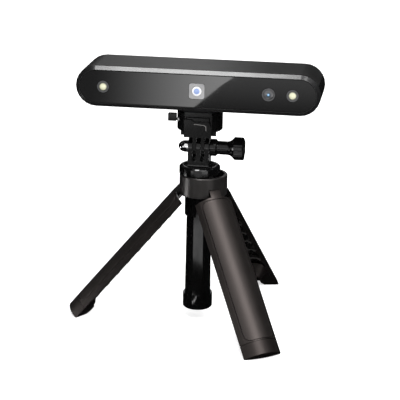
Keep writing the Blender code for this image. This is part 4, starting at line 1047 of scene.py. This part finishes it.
@dataclass
class Stand(Part):
    """Hub, collar, base tube and end cap."""

    body: str = "stand"
    hub_edge: float = 0.3 * MM
    collar_edge: float = 0.2 * MM
    tube_edge: float = 0.25 * MM
    cap_edge: float = 0.2 * MM
    cap_sharp: float = 30.0

    def build(self, finishes: Finishes) -> None:
        """Make the pieces of the stand.

        Args:
            finishes: the materials.
        """
        self.refine("hub", finishes.hub, "leg_plastic", self.hub_edge)
        self.refine("collar", finishes.gloss, "gloss_plastic", self.collar_edge)
        self.refine("base_tube", finishes.post, "post_plastic", self.tube_edge)
        self.refine("end_cap", finishes.gloss, "gloss_plastic", self.cap_edge, self.cap_sharp)
        for number in range(1, 4):
            self.dress(f"hinge_pin_{number}", finishes.steel)


@dataclass
class PostStage(Part):
    """One inner stage of the post."""

    node: str = ""
    edge: float = 0.2 * MM

    def build(self, finishes: Finishes) -> None:
        """Make the stage."""
        self.refine(self.node, finishes.post, "post_plastic", self.edge)


@dataclass
class Leg(Part):
    """Ribbed leg shell with its grip pad and foot."""

    number: int = 1
    shell_edge: float = 0.3 * MM
    pad_edge: float = 0.25 * MM
    foot_edge: float = 0.4 * MM
    shell_radius: float = 17.3 * MM
    inner_radius: float = 15.5 * MM
    half_angle: float = 56.0
    pad_facing: float = 0.35
    rib_edge_width: float = 0.36 * MM
    rib_edge_area: float = 1.2 * MM * MM
    rib_top: float = 82.0 * MM

    def face_test(self, leg: bpy.types.Mesh) -> Callable[[Any], LegFace]:
        """Find the hollow side of the leg, by the curve of its pad, and its rib edges.

        Args:
            leg: the mesh of the leg.

        Returns:
            A test that tells the kind of a face.
        """
        pad = frame["nodes"][f"grip_pad_{self.number}"].data
        upward = [face for face in pad.polygons if face.normal.z > self.pad_facing]
        outward = sum((face.normal * face.area for face in upward), Vector()).normalized()
        sideways = outward.cross(Vector((0, 0, 1))).normalized()
        crest = max(vertex.co.dot(outward) for vertex in pad.vertices)
        sides = [vertex.co.dot(sideways) for vertex in pad.vertices]
        middle = (min(sides) + max(sides)) / 2

        def test(face: Any) -> LegFace:
            """Tell the kind of one face.

            Args:
                face: the face.

            Returns:
                Its kind.
            """
            deep = face.center.dot(outward) - crest + self.shell_radius
            aside = face.center.dot(sideways) - middle
            angle = abs(math.degrees(math.atan2(aside, deep)))
            if math.hypot(deep, aside) > self.inner_radius or angle > self.half_angle:
                return LegFace.OUTER
            corners = [leg.vertices[index].co for index in face.vertices]
            following = corners[1:] + corners[:1]
            narrow = min((one - other).length for one, other in zip(corners, following))
            rib = face.center.z < self.rib_top and face.area > self.rib_edge_area
            return LegFace.RIB_EDGE if rib and narrow < self.rib_edge_width else LegFace.HOLLOW

        return test

    def build(self, finishes: Finishes) -> None:
        """Make the leg's pieces.

        Args:
            finishes: the materials.
        """
        leg = Bench.copied(f"leg_{self.number}")
        Bench.rounded(leg, self.shell_edge)
        Bench.smooth(leg)
        # Rib edges get a light grey painted glint.
        kinds = {LegFace.OUTER: finishes.leg, LegFace.HOLLOW: finishes.inner,
                 LegFace.RIB_EDGE: finishes.painted_glint}
        Bench.painted(leg, kinds, self.face_test(leg.data))
        self.add(leg, finishes.leg, "leg_plastic", (f"leg_{self.number}",))
        self.refine(f"grip_pad_{self.number}", finishes.grip, "grip_rubber", self.pad_edge)
        self.refine(f"foot_{self.number}", finishes.foot, "foot_rubber", self.foot_edge)


@dataclass(frozen=True)
class Lamp:
    """A soft lamp: place from the middle of the head, width and height, radiance."""

    name: str
    offset: Point
    size: Span
    radiance: float


@dataclass(frozen=True)
class Card:
    """A card square to Y: X of its sides, its Y, its lower and upper edge, its thickness."""

    name: str
    across: Span
    level: float
    up: Span
    depth: float

    def stand(self) -> Piece:
        """Stand the card in its place.

        Returns:
            The card.
        """
        (left, right), (low, high) = self.across, self.up
        corners = ((left, low), (right, low), (right, high), (left, high))
        points = [(x, self.level, z) for x, z in corners]
        return Bench.outline(self.name, points, (0, self.depth, 0))


@dataclass(frozen=True)
class Flag:
    """A dark flag on a circle round the post: ends in degrees, lower edge, own height."""

    name: str
    turn: Span
    low: float
    height: float
    steps: int


@dataclass(frozen=True)
class Strip:
    """A bright upright strip: direction from the post in degrees, width, height, radiance."""

    name: str
    angle: float
    width: float
    rise: Span
    radiance: float


@dataclass(frozen=True)
class Patch:
    """A bright patch on the mat: corners in millimetres, against the clock, and radiance."""

    name: str
    corners_mm: tuple[Span, ...]
    radiance: float


@dataclass(frozen=True)
class Fade:
    """A soft change of brightness: where it starts and ends, what it adds, and to what."""

    start: float
    end: float
    gain: float
    base: float

    def rising(self, place: Socket) -> Socket:
        """Brightness that grows along a coordinate."""
        return place.ramp(self.start, self.end) * self.gain + self.base

    def falling(self, place: Socket) -> Socket:
        """Brightness that falls along a coordinate."""
        return (1.0 - place.ramp(self.start, self.end)) * self.gain + self.base


@dataclass
class Studio:
    """Camera, floor, world, lamps, and the cards that glossy faces mirror."""

    head: Point = (3.824 * MM, -4.207 * MM, 173.2814 * MM)
    camera_offset: Point = (157.294 * MM, -1091.432 * MM, 241.204 * MM)
    camera_right: Point = (0.98894312, 0.14725749, 0.01751409)
    camera_up: Point = (-0.05841832, 0.27829718, 0.95871684)
    lens: float = 143.02
    sensor: float = 36.0
    sight: float = 20.0
    floor_size: float = 12.0
    floor_level: float = -0.2 * MM
    floor_colour: Colour = (0.8, 0.8, 0.8)
    floor_glow: float = 0.62
    room_light: float = 0.45
    mat_radius: float = 420 * MM
    mat_level: float = -0.1 * MM
    mat_steps: int = 48
    mat_light: float = 0.006
    sheet: float = 0.05 * MM
    flag_reach: float = 260 * MM
    flag_light: float = 0.005
    strip_reach: float = 250 * MM
    patch_clouds: float = 160.0
    patch_step: Span = (0.3, 0.7)
    front_card: Card = Card("front_card", (-190 * MM, 140 * MM), -376.5 * MM,
                            (1 * MM, 132 * MM), -MM)
    slant_slope: float = 1.153
    slant_at: Span = (-51.5 * MM, 77.8 * MM)
    left_fade: Fade = Fade(-150 * MM, -15 * MM, 4.6, 0.2)
    right_fade: Fade = Fade(66 * MM, 116 * MM, 0.85, 0.04)
    foot_fade: Fade = Fade(14 * MM, 42 * MM, 0.8, 0.05)
    pane_edge: Span = (66 * MM, 74 * MM)
    back_card: Card = Card("back_card", (-165 * MM, 90 * MM), 198 * MM,
                           (217 * MM, 290 * MM), MM)
    sheen_from: Span = (-180 * MM, -30 * MM)
    sheen_fade: Span = (-30 * MM, 40 * MM)
    sheen_light: float = 0.52
    sheen_base: float = 0.04
    lamps: tuple[Lamp, ...] = (
        Lamp("top_box", (-0.16, -0.34, 1.0), (0.27, 0.26), 19.0),
        Lamp("key_box", (0.50, -0.50, 0.82), (0.85, 0.6), 7.8),
        Lamp("back_fill", (-0.15, 1.0, 0.42), (1.3, 0.5), 2.8),
        Lamp("right_fill", (1.0, 0.35, 0.25), (0.5, 0.5), 3.0),
        Lamp("left_fill", (-1.0, 0.45, 0.25), (0.5, 0.5), 1.4),
    )
    flags: tuple[Flag, ...] = (
        Flag("dark_flags", (-38.0, 230.0), 0.0, 600 * MM, 34),
        Flag("left_flag", (230.0, 244.0), 165 * MM, 435 * MM, 4),
    )
    strips: tuple[Strip, ...] = (
        Strip("rear_panel", 97.0, 170 * MM, (30 * MM, 150 * MM), 1.2),
        Strip("left_strip", 193.0, 70 * MM, (1 * MM, 37 * MM), 13.0),
    )
    patches: tuple[Patch, ...] = (
        Patch("front_patch", ((-70, -262), (42, -275), (36, -128), (30, -128)), 3.2),
        Patch("cap_patch", ((-21, -45), (2, -69), (7, -65), (-16, -41)), 8.0),
    )

    def set_camera(self) -> None:
        """Place the camera at the photograph's viewpoint."""
        data = bpy.data.cameras.new("view")
        data.lens = self.lens
        data.sensor_width = self.sensor
        data.clip_end = self.sight
        camera = bpy.data.objects.new("view", data)
        right, up = Vector(self.camera_right), Vector(self.camera_up)
        turn = Matrix((right, up, right.cross(up))).transposed().to_4x4()
        eye = Vector(self.head) + Vector(self.camera_offset)
        camera.matrix_world = Matrix.Translation(eye) @ turn
        bpy.context.scene.collection.objects.link(camera)
        bpy.context.scene.camera = camera

    def set_floor(self) -> None:
        """Lay a floor that shows white and keeps a soft shadow."""
        Bench.clear()
        middle = (0, 0, self.floor_level)
        bpy.ops.mesh.primitive_plane_add(size=self.floor_size, location=middle)
        floor = bpy.context.active_object
        floor.name = "floor"
        paint = Paint("floor_white")
        white = paint.node("ShaderNodeBsdfDiffuse", None, {"Color": self.floor_colour})
        shown = {"Strength": paint.seen() * self.floor_glow}
        glow = paint.node("ShaderNodeEmission", None, shown)
        both = {0: white.out(0), 1: glow.out(0)}
        paint.close(paint.node("ShaderNodeAddShader", None, both))
        floor.data.materials.append(paint.material)

    def set_world(self) -> None:
        """White background, softer light on the object from all round."""
        room = Room("room")
        values = {"Value": room.seen(), "To Min": self.room_light, "To Max": 1.0}
        light = room.node("ShaderNodeMapRange", None, values).out("Result")
        room.close(room.node("ShaderNodeBackground", None, {"Color": WHITE, "Strength": light}))
        bpy.context.scene.world = room.world

    def hang(self, lamp: Lamp) -> None:
        """Hang one soft lamp that faces the head.

        Args:
            lamp: its place and light.
        """
        data = bpy.data.lights.new(lamp.name, "AREA")
        data.shape = "RECTANGLE"
        data.size, data.size_y = lamp.size
        data.energy = lamp.radiance * math.pi * lamp.size[0] * lamp.size[1]
        piece = bpy.data.objects.new(lamp.name, data)
        piece.location = Vector(self.head) + Vector(lamp.offset)
        piece.rotation_euler = Vector(lamp.offset).to_track_quat("Z", "Y").to_euler()
        piece.visible_camera = False
        bpy.context.scene.collection.objects.link(piece)

    @staticmethod
    def stand_aside(card: Piece, paint: Paint, strength: Any) -> None:
        """Let a card show in reflections only.

        Args:
            card: the card.
            paint: its material.
            strength: brightness, a number or a value of the material.
        """
        paint.close(paint.node("ShaderNodeEmission", None, {"Strength": strength}))
        card.data.materials.append(paint.material)
        card.visible_camera = False
        card.visible_diffuse = False
        card.visible_shadow = False
        card.visible_transmission = False

    def set_front_card(self) -> None:
        """Stand a shaded card in front, which the pane mirrors.

        It brightens to the right as far as a slanted edge, behind that edge it is dark and
        brightens upwards, and a dim foot gives the lower parts their sheen.
        """
        paint = Paint("card_shaded")
        across, up = paint.apart(paint.place())
        slant_x, slant_z = self.slant_at
        right_side = (across - (up - slant_z) * self.slant_slope - slant_x).greater(0.0)
        left = self.left_fade.rising(across) * (1.0 - right_side)
        right = self.right_fade.rising(up) * right_side
        upper = (left + right) * up.ramp(*self.pane_edge)
        self.stand_aside(self.front_card.stand(), paint, upper + self.foot_fade.falling(up))

    def set_back_card(self) -> None:
        """Stand a bright card low behind the head, for the sheen on its top."""
        paint = Paint("card_back_glow")
        across, _ = paint.apart(paint.place())
        glow = across.ramp(*self.sheen_from) * (1.0 - across.ramp(*self.sheen_fade))
        light = glow * self.sheen_light + self.sheen_base
        self.stand_aside(self.back_card.stand(), paint, light)

    def set_mat(self) -> None:
        """Lay a dark mat that upright glossy faces mirror."""
        radius, points = self.mat_radius, []
        for step in range(self.mat_steps):
            angle = math.tau * step / self.mat_steps
            points.append((radius * math.cos(angle), radius * math.sin(angle), self.mat_level))
        mat = Bench.outline("dark_mat", points, (0, 0, -self.sheet))
        self.stand_aside(mat, Paint("mat_black"), self.mat_light)

    def set_flag(self, flag: Flag) -> None:
        """Stand one dark flag, which sets off the glossy edges.

        Args:
            flag: its place and size.
        """
        start, end = (math.radians(angle) for angle in flag.turn)
        points = []
        for reach in (self.flag_reach, self.flag_reach + MM):
            row = []
            for step in range(flag.steps + 1):
                angle = start + (end - start) * step / flag.steps
                row.append((reach * math.cos(angle), reach * math.sin(angle), flag.low))
            points += row if reach == self.flag_reach else list(reversed(row))
        piece = Bench.outline(flag.name, points, (0, 0, flag.height))
        self.stand_aside(piece, Paint(f"{flag.name}_black"), self.flag_light)

    def set_strip(self, strip: Strip) -> None:
        """Stand one bright strip before the flags.

        Args:
            strip: its place, size and light.
        """
        turn = math.radians(strip.angle)
        out = Vector((math.cos(turn), math.sin(turn), 0))
        side = Vector((-out.y, out.x, 0)) * strip.width / 2
        near, far = out * self.strip_reach - side, out * self.strip_reach + side
        low, high = strip.rise
        points = [(near.x, near.y, low), (far.x, far.y, low), (far.x, far.y, high),
                  (near.x, near.y, high)]
        piece = Bench.outline(strip.name, points, tuple(out * MM))
        self.stand_aside(piece, Paint(f"{strip.name}_glow"), strip.radiance)

    def set_patch(self, patch: Patch) -> None:
        """Lay one bright patch on the dark mat.

        Args:
            patch: its place and light.
        """
        points = [(x * MM, y * MM, 0) for x, y in patch.corners_mm]
        piece = Bench.outline(patch.name, points, (0, 0, -self.sheet))
        paint = Paint(f"{patch.name}_glow")
        cloud = paint.noise(paint.place(), self.patch_clouds, detail=4.0, rough=0.7)
        self.stand_aside(piece, paint, cloud.ramp(*self.patch_step) * patch.radiance)

    def build(self) -> None:
        """Set up the whole studio."""
        self.set_camera()
        self.set_floor()
        self.set_world()
        for lamp in self.lamps:
            self.hang(lamp)
        self.set_front_card()
        self.set_back_card()
        self.set_mat()
        for flag in self.flags:
            self.set_flag(flag)
        for strip in self.strips:
            self.set_strip(strip)
        for patch in self.patches:
            self.set_patch(patch)
        bpy.context.scene.view_settings.view_transform = "Standard"


def main() -> None:
    """Build every sub-assembly in order, then the studio."""
    logging.basicConfig(level=logging.INFO, format="%(name)s: %(message)s")
    finishes = Finishes()
    parts: list[Any] = [
        CameraBar(),
        QuickRelease(),
        Catch(),
        Turntable(),
        ThumbScrew(),
        Stand(),
        PostStage("middle_stage", node="middle_tube"),
        PostStage("upper_stage", node="upper_rod"),
        Leg("left_leg", number=1),
        Leg("front_leg", number=2),
        Leg("back_leg", number=3),
    ]
    for part in parts:
        part.build(finishes)
    Studio().build()


if __name__ == "__main__":
    main()
